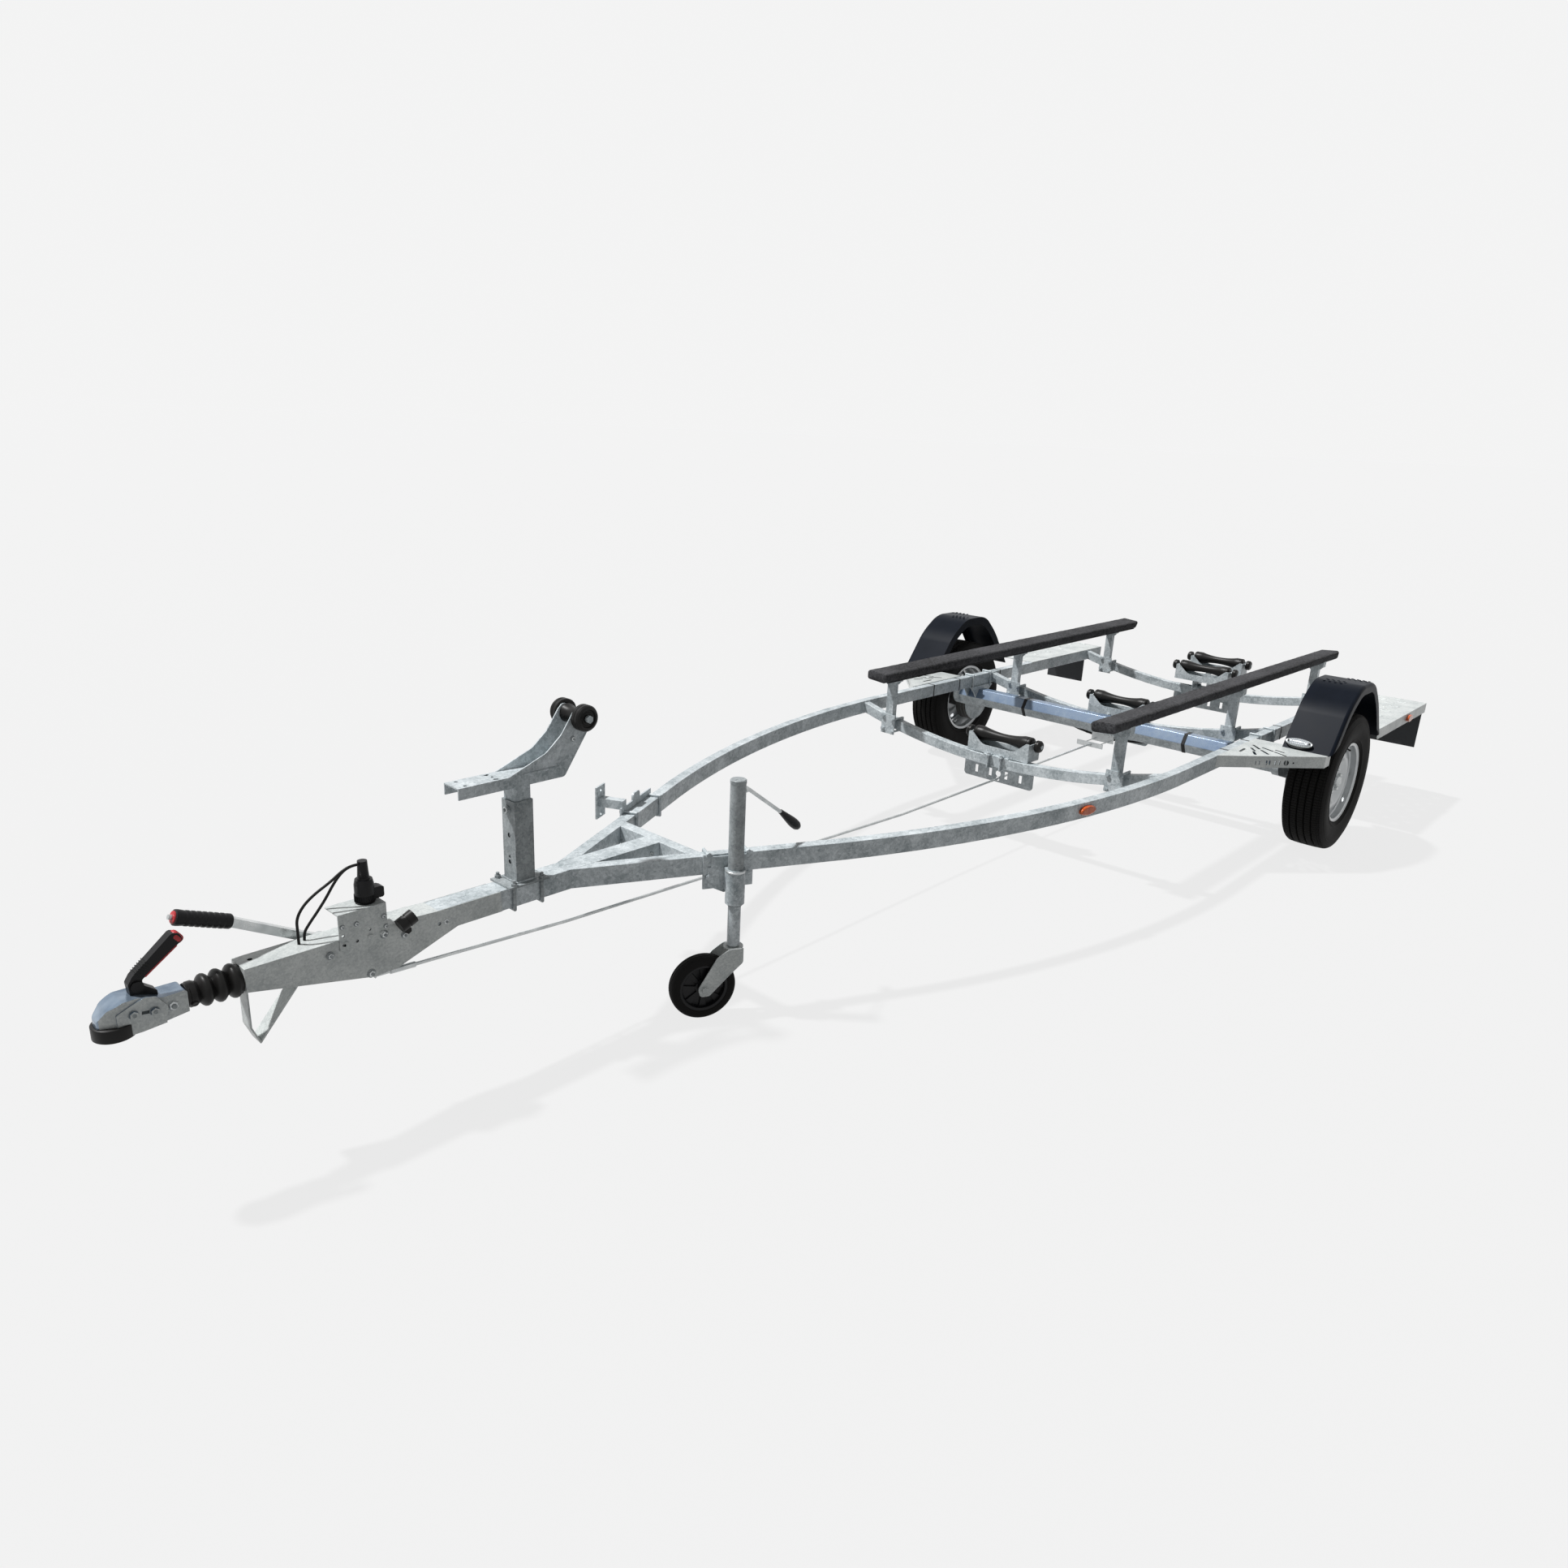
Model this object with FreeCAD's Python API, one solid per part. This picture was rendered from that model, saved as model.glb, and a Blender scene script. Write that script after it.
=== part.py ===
import FreeCAD, Part
import math
import os

# Boat trailer, braked, single axle, galvanised tube frame with a Y drawbar.
# Lengths are millimetres. Stations run along X from the wheels' axis, forward positive,
# Y is to the left and Z up from the floor. Everything is moved at the end so that the
# origin lies on the floor at mid-length.

Vec = FreeCAD.Vector
X_AXIS = Vec(1, 0, 0)
Y_AXIS = Vec(0, 1, 0)
Z_AXIS = Vec(0, 0, 1)

# Clearances and common stock
overrun = 2.0
seat_gap = 0.3
run_gap = 0.06
sheet = 4.0
plate = 6.0
tube_wall = 3.0
bolt_radius = 5.0
nut_radius = 9.5
nut_height = 8.0
washer_radius = 11.0

# Frame tubes
frame_top = 520.0
tube_height = 60.0
rail_width = 40.0
drawbar_width = 70.0
rail_centre_y = 780.0
rail_bend_front = 1060.0
rail_bend_radius = 4060.0
rail_angle = 26.2
rail_rear = -1212.0
brace_front = 3228.0
brace_width = 40.0
drawbar_front = 4190.0

# Cross arcs
arc_width = 40.0
arc_depth = 45.0
arc_end_top = 516.0
arc_mid_top = 412.0
front_arc_face = 1230.0
middle_arc_face = 85.0
rear_arc_face = -1020.0

# Wheels
tyre_radius = 322.0
tyre_width = 188.0
tread_width = 146.0
tyre_shoulder = 24.0
tyre_side_radius = 258.0
half_track = 1040.0
rim_flange_radius = 188.0
rim_seat_radius = 177.0
rim_well_radius = 158.0
rim_width = 154.0
rim_wall = 4.0
rim_flange_width = 9.0
rim_seat_width = 24.0
rim_well_width = 60.0
wheel_offset = 30.0
disc_bowl_radius = 128.0
disc_crown_radius = 108.0
disc_crown_rise = 22.0
hub_face_radius = 84.0
hub_bore_radius = 32.0
hub_cap_radius = 31.0
hub_cap_length = 34.0
drum_radius = 116.0
drum_width = 62.0
hub_radius = 62.0
wheel_bolts = 5
wheel_bolt_circle = 56.0
spindle_radius = 17.5

# Axle
axle_station = 190.0
axle_height = 396.0
axle_flats = 90.0
axle_half_length = 862.0
saddle_length = 190.0
saddle_width = 60.0
saddle_web_drop = 70.0
saddle_bolt_pitch = 170.0
arm_thickness = 32.0
arm_big_radius = 58.0
arm_small_radius = 40.0
back_plate_radius = 112.0
back_plate_width = 5.0
drum_gap = 5.0

# Mudguards and steps
guard_width = 210.0
guard_wall = 4.0
guard_lip = 24.0
guard_top = 794.0
guard_front_foot = 385.0
guard_front_knee = 243.0
guard_front_knee_height = 711.0
guard_front_shoulder = 118.0
guard_rear_shoulder = -75.0
guard_rear_knee = -195.0
guard_rear_knee_height = 691.0
guard_rear_foot = -345.0
guard_rear_foot_height = 494.0
guard_corner_radius = 60.0
guard_lean_share = 0.5
step_plate = 3.0
front_step_tip = 775.0
front_step_corner = 405.0
front_step_rear = 340.0
front_step_inset = 18.0
step_lip = 48.0
rear_step_front = -352.0
rear_step_inset = 11.0

# Lamps
lamp_board_width = 254.0
lamp_board_inset = 12.0
lamp_board_bottom = 274.0
lamp_board_top = 486.0
lamp_board_wall = 5.0
lamp_margin = 24.0
lamp_width = 200.0
lamp_bottom = 308.0
lamp_height = 120.0
lamp_depth = 44.0
front_lamp_half_length = 55.0
front_lamp_half_height = 22.0
front_lamp_depth = 22.0
front_lamp_y = 1000.0
marker_half_length = 42.0
marker_half_height = 18.0
marker_depth = 14.0
side_marker_station = 1790.0
rear_marker_station = -870.0

# Coupling, bellows and overrun housing
shaft_height = 486.0
ball_station = 4746.0
ball_height = 466.0
ball_radius = 25.0
ball_gap = 0.5
cup_wall = 8.0
head_half_width = 32.0
head_rear = 4602.0
head_tube_radius = 27.0
head_slope_foot = 4652.0
head_crest_rear = 4700.0
head_crest_front = 4732.0
head_crest_height = 530.0
head_brow_x = 4761.0
head_brow_height = 518.0
head_nose_height = 494.0
cheek_shares = ((0.35, -0.5), (0.3, 0.14), (0.45, 0.84), (0.61, 0.98), (0.8, 0.75),
                (1.01, 0.45), (1.01, -0.18), (0.89, -0.5))
cheek_round_shares = (0.12, 0.44, 0.38, 0.56, 0.75, 0.1, 0.3, 0.25)
cheek_bolt_shares = ((0.785, 0.25), (0.5, 0.11))
tube_bolt_share = 0.22
boot_radius = 44.0
boot_height = 42.0
bellows_rear = 4482.0
bellows_collar_radius = 30.0
bellows_collar_length = 26.0
bellows_ridge_radius = 39.0
bellows_valley_radius = 31.0
bellows_ridges = 4
housing_front = 4482.0
housing_wall = 3.0
housing_front_bottom = 463.0
housing_low_station = 4172.0
housing_low_height = 394.0
housing_rise_station = 3935.0
housing_rear = 3800.0

# Coupling lever
lever_pivot_x = 4694.0
lever_pivot_height = 547.0
lever_boss_radius = 13.0
lever_boss_half = 17.0
lever_width = 24.0
lever_toe_x = 4709.0
lever_foot_x = 4656.0
lever_foot_depth = 11.0
lever_reach = 102.0
lever_rise = 101.0
lever_shares = ((0.137, -0.02), (0.108, 0.119), (0.882, 0.703), (1.0, 0.792), (0.941, 0.95),
                (0.794, 1.0), (-0.069, 0.248), (-0.167, 0.089))
lever_round_shares = (0.17, 0.25, 0.42, 0.17, 0.29, 0.33, 0.58, 0.33)

# Handbrake lever
brake_lever_y = -58.0
brake_lever_size = 22.0
brake_pivot_x = 4262.0
brake_pivot_z = 494.0
brake_bend_x = 4470.0
brake_bend_z = 608.0
brake_grip_x = 4584.0
brake_grip_z = 653.0
brake_grip_radius = 17.0
brake_button_radius = 6.0
brake_button_length = 12.0

# Strap stand under the housing
strap_width = 44.0
strap_front = 4478.0
strap_turn_height = 361.0
strap_tip_x = 4458.0
strap_tip_height = 316.0
strap_rear_x = 4356.0
strap_rear_height = 436.0

# Plug holder, plug and cable
holder_front = 4258.0
holder_rear = 4133.0
holder_top = 590.0
holder_bottom = 494.0
holder_reach = 68.0
holder_bolt_shares = (0.12, 0.38, 0.88)
plug_station = 4169.0
plug_y = 6.0
plug_radius = 24.0
plug_neck_radius = 14.0
plug_height = 62.0
plug_neck_height = 48.0
plug_skirt = 14.0
plug_skirt_radius = 21.0
lug_rear = 4124.0
lug_half_width = 13.0
lug_bottom = 596.0
lug_top = 626.0
cable_radius = 3.5

# Rubber buffer on the housing's side
buffer_radius = 19.0
buffer_length = 44.0
buffer_station = 4090.0
buffer_height = 530.0
buffer_lean = 25.0
buffer_stub_drop = 24.0

# Brake rod and equaliser
rod_radius = 5.0
rod_front_x = 4150.0
rod_front_z = 377.0
rod_kink_x = 3560.0
rod_kink_z = 343.0
rod_low_x = 1900.0
rod_low_z = 297.0
rod_rear_x = 330.0
rod_rear_z = 313.0
turnbuckle_radius = 8.0
turnbuckle_length = 70.0
brake_arm_width = 10.0
equaliser_half = 70.0
equaliser_height = 24.0
abutment_half = 60.0
brake_cable_radius = 5.5
brake_cable_y = 40.0

# Winch post
post_outer = 60.0
post_station = 3714.0
post_top = 762.0
mast_outer = 52.0
mast_gap = 0.4
mast_top = 806.0
mast_bottom = 576.0
post_base_length = 130.0
post_base_width = 96.0
post_bolt_pitch = 91.0
post_hole_shares = (0.3, 0.58)

# Bow arm and roller
arm_channel_width = 70.0
arm_channel_depth = 32.0
arm_channel_front = 3913.0
arm_top = 838.0
arm_rear = 3596.0
cheek_heel_front = 3760.0
cheek_belly_x = 3640.0
cheek_belly_z = 884.0
cheek_throat_x = 3588.0
cheek_throat_z = 928.0
bow_axis_x = 3520.0
bow_axis_z = 968.0
bow_cheek_radius = 30.0
bow_disc_radius = 38.0
bow_disc_width = 31.0
bow_spool_radius = 27.0
bow_pin_radius = 8.0
bow_run_gap = 5.0
winch_station = 3840.0
winch_pitch_x = 90.0
winch_pitch_y = 44.0
winch_hole_radius = 5.5

# Keel rollers
keel_roller_length = 290.0
keel_roller_radius = 33.0
keel_waist_radius = 20.0
keel_pin_radius = 8.0
roller_shoulder_share = 0.72
keel_behind_face = 60.0
keel_axis_height = 490.0
keel_side_gap = 6.0
keel_bell_radius = 27.0
keel_bell_width = 24.0
keel_bell_gap = 5.0
middle_roller_shift = 12.0
middle_roller_rise = 8.0
cradle_half_depth = 48.0
cradle_rear_pitch = 196.0
cradle_first_back = 6.0
cradle_rear_rise = 27.0
keel_rear_axis_height = 532.0
slot_bolt_y = 32.0
slot_plate_half = 178.0
slot_plate_drop = 78.0
slot_half_width = 8.0
slot_half_height = 18.0
slot_shares = (-0.64, -0.23, 0.23, 0.64)
slot_round_radius = 14.0

# Bunks and their posts
bunk_front = 1400.0
bunk_rear = -1235.0
bunk_y = 583.0
bunk_width = 100.0
bunk_height = 40.0
bunk_bottom = 676.0
bunk_tilt = 5.0
bunk_nose = 22.0
bunk_splay = 0.72
post_width = 40.0
post_depth = 30.0
post_outward = 12.0
post_head_width = 84.0
post_head_height = 36.0

# Spare wheel arm
spare_station = 3140.0
spare_arm_size = 30.0
spare_arm_length = 85.0
spare_bolt_spread = 98.0
spare_plate_margin = 24.0
spare_tab_height = 46.0
spare_tab_half = 28.0
spare_plate_height = 110.0
spare_plate_width = 62.0
spare_stud_pitch = 84.0

# Jockey wheel
jockey_station = 3140.0
jockey_off_face = 36.0
jockey_tube_radius = 24.0
tube_gap = 0.1
jockey_pin_radius = 12.0
jockey_pin_length = 40.0
jockey_tube_top = 770.0
jockey_tube_bottom = 368.0
jockey_leg_radius = 20.0
jockey_leg_bottom = 234.0
jockey_leg_top = 596.0
clamp_plate_half = 80.0
clamp_plate_bottom = 415.0
clamp_plate_top = 526.0
clamp_sleeve_radius = 30.0
clamp_sleeve_top = 486.0
clamp_sleeve_bottom = 374.0
clamp_cover_half = 56.0
clamp_ahead = 14.0
clamp_gusset_bottom = 402.0
crank_height = 732.0
crank_elbow = 44.0
crank_wrist_x = 2948.0
crank_wrist_z = 624.0
crank_grip_x = 2862.0
crank_grip_z = 553.0
collar_share = 1.7
grip_swell_share = 0.6
grip_end_share = 0.85
crank_grip_radius = 15.0
crank_radius = 6.0
jockey_wheel_radius = 105.0
jockey_wheel_width = 48.0
jockey_trail = 98.0
jockey_turn = -26.0
jockey_axle_radius = 8.0
fork_half_gap = 27.0
fork_sheet = 4.0
fork_top = 230.0


def box(x0, x1, y0, y1, z0, z1):
    """A block between six planes."""
    return Part.makeBox(x1 - x0, y1 - y0, z1 - z0, Vec(x0, y0, z0))


def rod(start, end, radius):
    """A round bar between two points."""
    direction = end.sub(start)
    return Part.makeCylinder(radius, direction.Length, start, direction)


def ring(centre, axis, outer, inner, length):
    """A tube whose near end is at centre."""
    body = Part.makeCylinder(outer, length, centre, axis)
    return body.cut(Part.makeCylinder(inner, length, centre, axis))


def outline(points, radii=None):
    """A closed wire through the points, its corners rounded by the given radii."""
    count = len(points)
    radii = radii or [0] * count
    edges = []
    starts = []
    ends = []
    arcs = []
    for i, corner in enumerate(points):
        before = points[i - 1].sub(corner)
        after = points[(i + 1) % count].sub(corner)
        if radii[i] <= 0:
            starts.append(corner)
            ends.append(corner)
            arcs.append(None)
            continue
        angle = before.getAngle(after)
        reach = radii[i] / math.tan(angle / 2)
        first = corner.add(Vec(before).normalize().multiply(reach))
        last = corner.add(Vec(after).normalize().multiply(reach))
        inward = Vec(before).normalize().add(Vec(after).normalize()).normalize()
        centre_away = radii[i] / math.sin(angle / 2)
        middle = corner.add(inward.multiply(centre_away - radii[i]))
        starts.append(first)
        ends.append(last)
        arcs.append(Part.Arc(first, middle, last).toShape())
    for i in range(count):
        if arcs[i]:
            edges.append(arcs[i])
        following = starts[(i + 1) % count]
        if ends[i].sub(following).Length > 0:
            edges.append(Part.LineSegment(ends[i], following).toShape())
    return Part.Wire(edges)


def prism(points, depth, radii=None):
    """A plate: the outline swept along the vector depth."""
    return Part.Face(outline(points, radii)).extrude(depth)


def side_plate(shape_xz, y0, y1, radii=None):
    """A plate cut in the XZ plane between two values of Y."""
    points = [Vec(x, y0, z) for x, z in shape_xz]
    return prism(points, Vec(0, y1 - y0, 0), radii)


def cross_plate(shape_yz, x0, x1, radii=None):
    """A plate cut in the YZ plane between two values of X."""
    points = [Vec(x0, y, z) for y, z in shape_yz]
    return prism(points, Vec(x1 - x0, 0, 0), radii)


def flat_plate(shape_xy, z0, z1, radii=None):
    """A plate cut in the XY plane between two heights."""
    points = [Vec(x, y, z0) for x, y in shape_xy]
    return prism(points, Vec(0, 0, z1 - z0), radii)


def revolve(profile, centre, axis):
    """A turned piece from pairs of radius and distance along the axis."""
    side = Z_AXIS if abs(axis.dot(Z_AXIS)) < 1 else X_AXIS
    points = [centre.add(Vec(side).multiply(r)).add(Vec(axis).multiply(a)) for r, a in profile]
    return Part.Face(outline(points)).revolve(centre, axis, 360)


def fuse(shapes):
    """One shape from several that touch or overlap."""
    body = shapes[0].multiFuse(shapes[1:]) if len(shapes) > 1 else shapes[0]
    return body.removeSplitter()


def mirrored(shape):
    """The copy on the other side of the centreline."""
    return shape.mirror(Vec(0, 0, 0), Y_AXIS)


def pair(shape):
    """A piece and its mirror image as two solids."""
    return Part.makeCompound([shape, mirrored(shape)])


def hex_nut(centre, axis, radius=nut_radius, height=nut_height):
    """A hexagon nut or bolt head that stands on centre."""
    side = Z_AXIS if abs(axis.dot(Z_AXIS)) < 1 else X_AXIS
    points = []
    for step in range(6):
        turned = FreeCAD.Rotation(axis, step * 60).multVec(side)
        points.append(centre.add(turned.multiply(radius)))
    return prism(points, Vec(axis).multiply(height))


def u_bolt(corner_a, corner_b, leg, radius=bolt_radius, tail=nut_height * 2):
    """A square-bent U-bolt: two legs along the vector leg, joined across a and b, with nuts."""
    end_a = corner_a.add(leg)
    end_b = corner_b.add(leg)
    along = Vec(leg).normalize()
    out = Vec(along).multiply(tail)
    pieces = [
        rod(corner_a, end_a.add(out), radius),
        rod(corner_b, end_b.add(out), radius),
        rod(corner_a, corner_b, radius),
        Part.makeSphere(radius, corner_a),
        Part.makeSphere(radius, corner_b),
        hex_nut(end_a, along),
        hex_nut(end_b, along),
    ]
    return fuse(pieces)


def bar_xz(start, end, size, y0, y1):
    """A flat bar in the XZ plane: a strip of the given depth between two points."""
    along = Vec(end[0] - start[0], 0, end[1] - start[1]).normalize()
    side = Vec(-along.z, 0, along.x).multiply(size / 2)
    corners = [
        (start[0] + side.x, start[1] + side.z),
        (end[0] + side.x, end[1] + side.z),
        (end[0] - side.x, end[1] - side.z),
        (start[0] - side.x, start[1] - side.z),
    ]
    return side_plate(corners, y0, y1)


def ribbon(points, thickness, y0, y1):
    """A bent strip of flat steel that follows points in the XZ plane."""
    pieces = [bar_xz(a, b, thickness, y0, y1) for a, b in zip(points, points[1:])]
    for x, z in points[1:-1]:
        pieces.append(rod(Vec(x, y0, z), Vec(x, y1, z), thickness / 2))
    return fuse(pieces)


def route(points, largest=None):
    """An open path of straight runs and tangent arcs; each arc is as large as its runs allow."""
    edges = []
    here = points[0]
    radii = []
    for before, corner, after in zip(points, points[1:], points[2:]):
        back = before.sub(corner)
        on = after.sub(corner)
        reach = 0.45 * min(back.Length, on.Length)
        half_turn = (math.pi - back.getAngle(on)) / 2
        radius = reach / math.tan(half_turn)
        if largest and radius > largest:
            radius = largest
            reach = radius * math.tan(half_turn)
        radii.append(radius)
        first = corner.add(Vec(back).normalize().multiply(reach))
        last = corner.add(Vec(on).normalize().multiply(reach))
        inward = Vec(back).normalize().add(Vec(on).normalize()).normalize()
        middle = corner.add(inward.multiply(radius / math.cos(half_turn) - radius))
        edges.append(Part.LineSegment(here, first).toShape())
        edges.append(Part.Arc(first, middle, last).toShape())
        here = last
    edges.append(Part.LineSegment(here, points[-1]).toShape())
    return Part.Wire(edges), radii


def tube_along(points, radius, largest=None, name=None):
    """A round solid swept along a route; prints its radii and compares its volume."""
    wire, radii = route(points, largest)
    start = points[0]
    direction = points[1].sub(points[0])
    circle = Part.Wire([Part.Circle(start, direction, radius).toShape()])
    solid = wire.makePipeShell([circle], True, False)
    if name:
        expected = math.pi * radius ** 2 * wire.Length
        print(name, "length", round(wire.Length), "radii", [round(r) for r in radii],
              "volume ratio", round(solid.Volume / expected, 4))
    return solid


# Places that follow from the driving dimensions
frame_bottom = frame_top - tube_height
half_drawbar = drawbar_width / 2
half_rail = rail_width / 2
rail_outer_y = rail_centre_y + half_rail
rail_inner_y = rail_centre_y - half_rail
rail_slope = math.tan(math.radians(rail_angle))
wheel_height = tyre_radius
arc_sag = arc_end_top - arc_mid_top
arc_radius = (rail_inner_y ** 2 + arc_sag ** 2) / (2 * arc_sag)
arc_centre_z = arc_mid_top + arc_radius
housing_half = half_drawbar + housing_wall
housing_roof = frame_top + housing_wall
step_top = frame_top + step_plate
guard_inner_y = half_track - guard_width / 2
guard_outer_y = guard_inner_y + guard_width
front_step_half_width = guard_outer_y - front_step_inset
rear_step_half_width = guard_outer_y - rear_step_inset
lamp_board_outer = rear_step_half_width - lamp_board_inset
lamp_board_inner = lamp_board_outer - lamp_board_width
lamp_inner = lamp_board_inner + lamp_margin
front_end = ball_station + boot_radius


def rail_curve(offset):
    """The rail's line moved outwards by offset: rear end, bend start, middle, end, front end."""
    turn = math.radians(rail_angle)
    radius = rail_bend_radius + offset
    centre_y = rail_centre_y - rail_bend_radius

    def on_bend(angle):
        return Vec(rail_bend_front + radius * math.sin(angle), centre_y + radius * math.cos(angle), 0)

    end = on_bend(turn)
    front = Vec(end.x + (end.y - half_drawbar) / rail_slope, half_drawbar, 0)
    rear = Vec(rail_rear, rail_centre_y + offset, 0)
    return rear, on_bend(0), on_bend(turn / 2), end, front


def rail_strip(inner, outer, z0, z1):
    """A bar between two offsets of the rail's line and two heights."""
    a = rail_curve(outer)
    b = rail_curve(inner)
    edges = [
        Part.LineSegment(a[0], a[1]).toShape(),
        Part.Arc(a[1], a[2], a[3]).toShape(),
        Part.LineSegment(a[3], a[4]).toShape(),
        Part.LineSegment(a[4], b[4]).toShape(),
        Part.LineSegment(b[4], b[3]).toShape(),
        Part.Arc(b[3], b[2], b[1]).toShape(),
        Part.LineSegment(b[1], b[0]).toShape(),
        Part.LineSegment(b[0], a[0]).toShape(),
    ]
    face = Part.Face(Part.Wire(edges))
    face.translate(Vec(0, 0, z0))
    return face.extrude(Vec(0, 0, z1 - z0))


def rail_y(station, offset):
    """Y of the straight front stretch of the rail, moved outwards by offset."""
    end = rail_curve(offset)[3]
    return end.y - (station - end.x) * rail_slope


def make_rail():
    inside = half_rail - tube_wall
    outer = rail_strip(-half_rail, half_rail, frame_bottom, frame_top)
    return outer.cut(rail_strip(-inside, inside, frame_bottom + tube_wall, frame_top - tube_wall))


def make_drawbar():
    outer = box(brace_front, drawbar_front, -half_drawbar, half_drawbar, frame_bottom, frame_top)
    inner = box(brace_front, drawbar_front, -half_drawbar + tube_wall, half_drawbar - tube_wall,
                frame_bottom + tube_wall, frame_top - tube_wall)
    return outer.cut(inner)


def make_cross_brace():
    def slab(x0, x1, z0, z1):
        corners = [(x0, -rail_y(x0, -half_rail)), (x1, -rail_y(x1, -half_rail)),
                   (x1, rail_y(x1, -half_rail)), (x0, rail_y(x0, -half_rail))]
        return flat_plate(corners, z0, z1)

    rear = brace_front - brace_width
    outer = slab(rear, brace_front, frame_bottom, frame_top)
    return outer.cut(slab(rear + tube_wall, brace_front - tube_wall,
                          frame_bottom + tube_wall, frame_top - tube_wall))


def arc_z(y, depth=0):
    """Height of the cross arcs' line at y, at a depth under its top surface."""
    return arc_centre_z - math.sqrt((arc_radius + depth) ** 2 - y ** 2)


def arc_strip(face, inset):
    """A curved bar between the rails' inner sides, its section smaller by inset all round."""
    x0 = face - arc_width + inset
    half = rail_inner_y
    near = inset
    far = arc_depth - inset
    edges = [
        Part.Arc(Vec(x0, -half, arc_z(half, near)), Vec(x0, 0, arc_z(0, near)),
                 Vec(x0, half, arc_z(half, near))).toShape(),
        Part.LineSegment(Vec(x0, half, arc_z(half, near)), Vec(x0, half, arc_z(half, far))).toShape(),
        Part.Arc(Vec(x0, half, arc_z(half, far)), Vec(x0, 0, arc_z(0, far)),
                 Vec(x0, -half, arc_z(half, far))).toShape(),
        Part.LineSegment(Vec(x0, -half, arc_z(half, far)), Vec(x0, -half, arc_z(half, near))).toShape(),
    ]
    return Part.Face(Part.Wire(edges)).extrude(Vec(arc_width - 2 * inset, 0, 0))


def make_arc(face):
    """A cross tube, its ends cut to the rails' inner sides."""
    tube = arc_strip(face, 0).cut(arc_strip(face, tube_wall))
    rail = rail_strip(-half_rail, half_rail, frame_bottom, frame_top)
    return tube.cut(rail).cut(mirrored(rail))


# Axle
def hexagon(flats, y0, y1):
    """The axle's six-sided bar, a flat on top and an edge in front."""
    corner = flats / 2 / math.cos(math.radians(30))
    points = [(axle_station + corner * math.cos(math.radians(60 * k)),
               axle_height + corner * math.sin(math.radians(60 * k))) for k in range(6)]
    return side_plate(points, y0, y1)


def make_axle():
    outer = hexagon(axle_flats, -axle_half_length, axle_half_length)
    inner = hexagon(axle_flats - 2 * plate, -axle_half_length, axle_half_length)
    return outer.cut(inner)


def make_saddle():
    """The bracket that carries the left rail on the axle, with its two U-bolts."""
    half = saddle_length / 2
    y0 = rail_centre_y - saddle_width / 2
    y1 = rail_centre_y + saddle_width / 2
    bottom = frame_bottom - saddle_web_drop
    pieces = [box(axle_station - half, axle_station + half, y0, y1, frame_bottom - plate, frame_bottom)]
    web_foot = axle_flats / 2
    for y in (y0, y1 - plate):
        web = [(axle_station - half, frame_bottom - plate), (axle_station + half, frame_bottom - plate),
               (axle_station + web_foot, bottom), (axle_station - web_foot, bottom)]
        pieces.append(side_plate(web, y, y + plate))
    saddle = fuse(pieces).cut(hexagon(axle_flats, y0 - overrun, y1 + overrun))
    bolts = []
    reach = bolt_radius + seat_gap
    for side in (-1, 1):
        x = axle_station + side * saddle_bolt_pitch / 2
        top = frame_top + reach
        inner = Vec(x, rail_inner_y - reach, top)
        outer = Vec(x, rail_outer_y + reach, top)
        bolts.append(u_bolt(inner, outer, Vec(0, 0, frame_bottom - plate - top)))
    return saddle, bolts


def make_saddles():
    saddle, bolts = make_saddle()
    ear = bolt_radius * 2
    ears = []
    for side in (-1, 1):
        x = axle_station + side * saddle_bolt_pitch / 2
        reach = bolt_radius * 3
        ears.append(box(x - ear, x + ear, rail_inner_y - reach, rail_outer_y + reach,
                        frame_bottom - plate, frame_bottom))
    left = fuse([saddle] + ears + bolts)
    return pair(left)


def make_swing_arm():
    """The left trailing arm with its spindle and the brake's back plate."""
    y0 = axle_half_length
    y1 = axle_half_length + arm_thickness
    big = rod(Vec(axle_station, y0, axle_height), Vec(axle_station, y1, axle_height), arm_big_radius)
    small = rod(Vec(0, y0, wheel_height), Vec(0, y1, wheel_height), arm_small_radius)
    along = Vec(axle_station, 0, axle_height - wheel_height)
    tilt = math.asin((arm_big_radius - arm_small_radius) / along.Length)
    lean = math.atan2(along.z, along.x)
    upper = lean + math.pi / 2 + tilt
    lower = lean - math.pi / 2 - tilt
    web = []
    for angle, radius, x, z in ((upper, arm_small_radius, 0, wheel_height),
                                (upper, arm_big_radius, axle_station, axle_height),
                                (lower, arm_big_radius, axle_station, axle_height),
                                (lower, arm_small_radius, 0, wheel_height)):
        web.append((x + radius * math.cos(angle), z + radius * math.sin(angle)))
    backing = rod(Vec(0, y1, wheel_height), Vec(0, y1 + back_plate_width, wheel_height), back_plate_radius)
    spindle = rod(Vec(0, y1, wheel_height), Vec(0, spindle_end, wheel_height), spindle_radius)
    return fuse([big, small, side_plate(web, y0, y1), backing, spindle])


# Wheels
drum_inner_y = axle_half_length + arm_thickness + back_plate_width + drum_gap
disc_y = half_track + wheel_offset
hub_end_y = disc_y + hub_cap_length
spindle_end = disc_y - hub_cap_length


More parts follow.
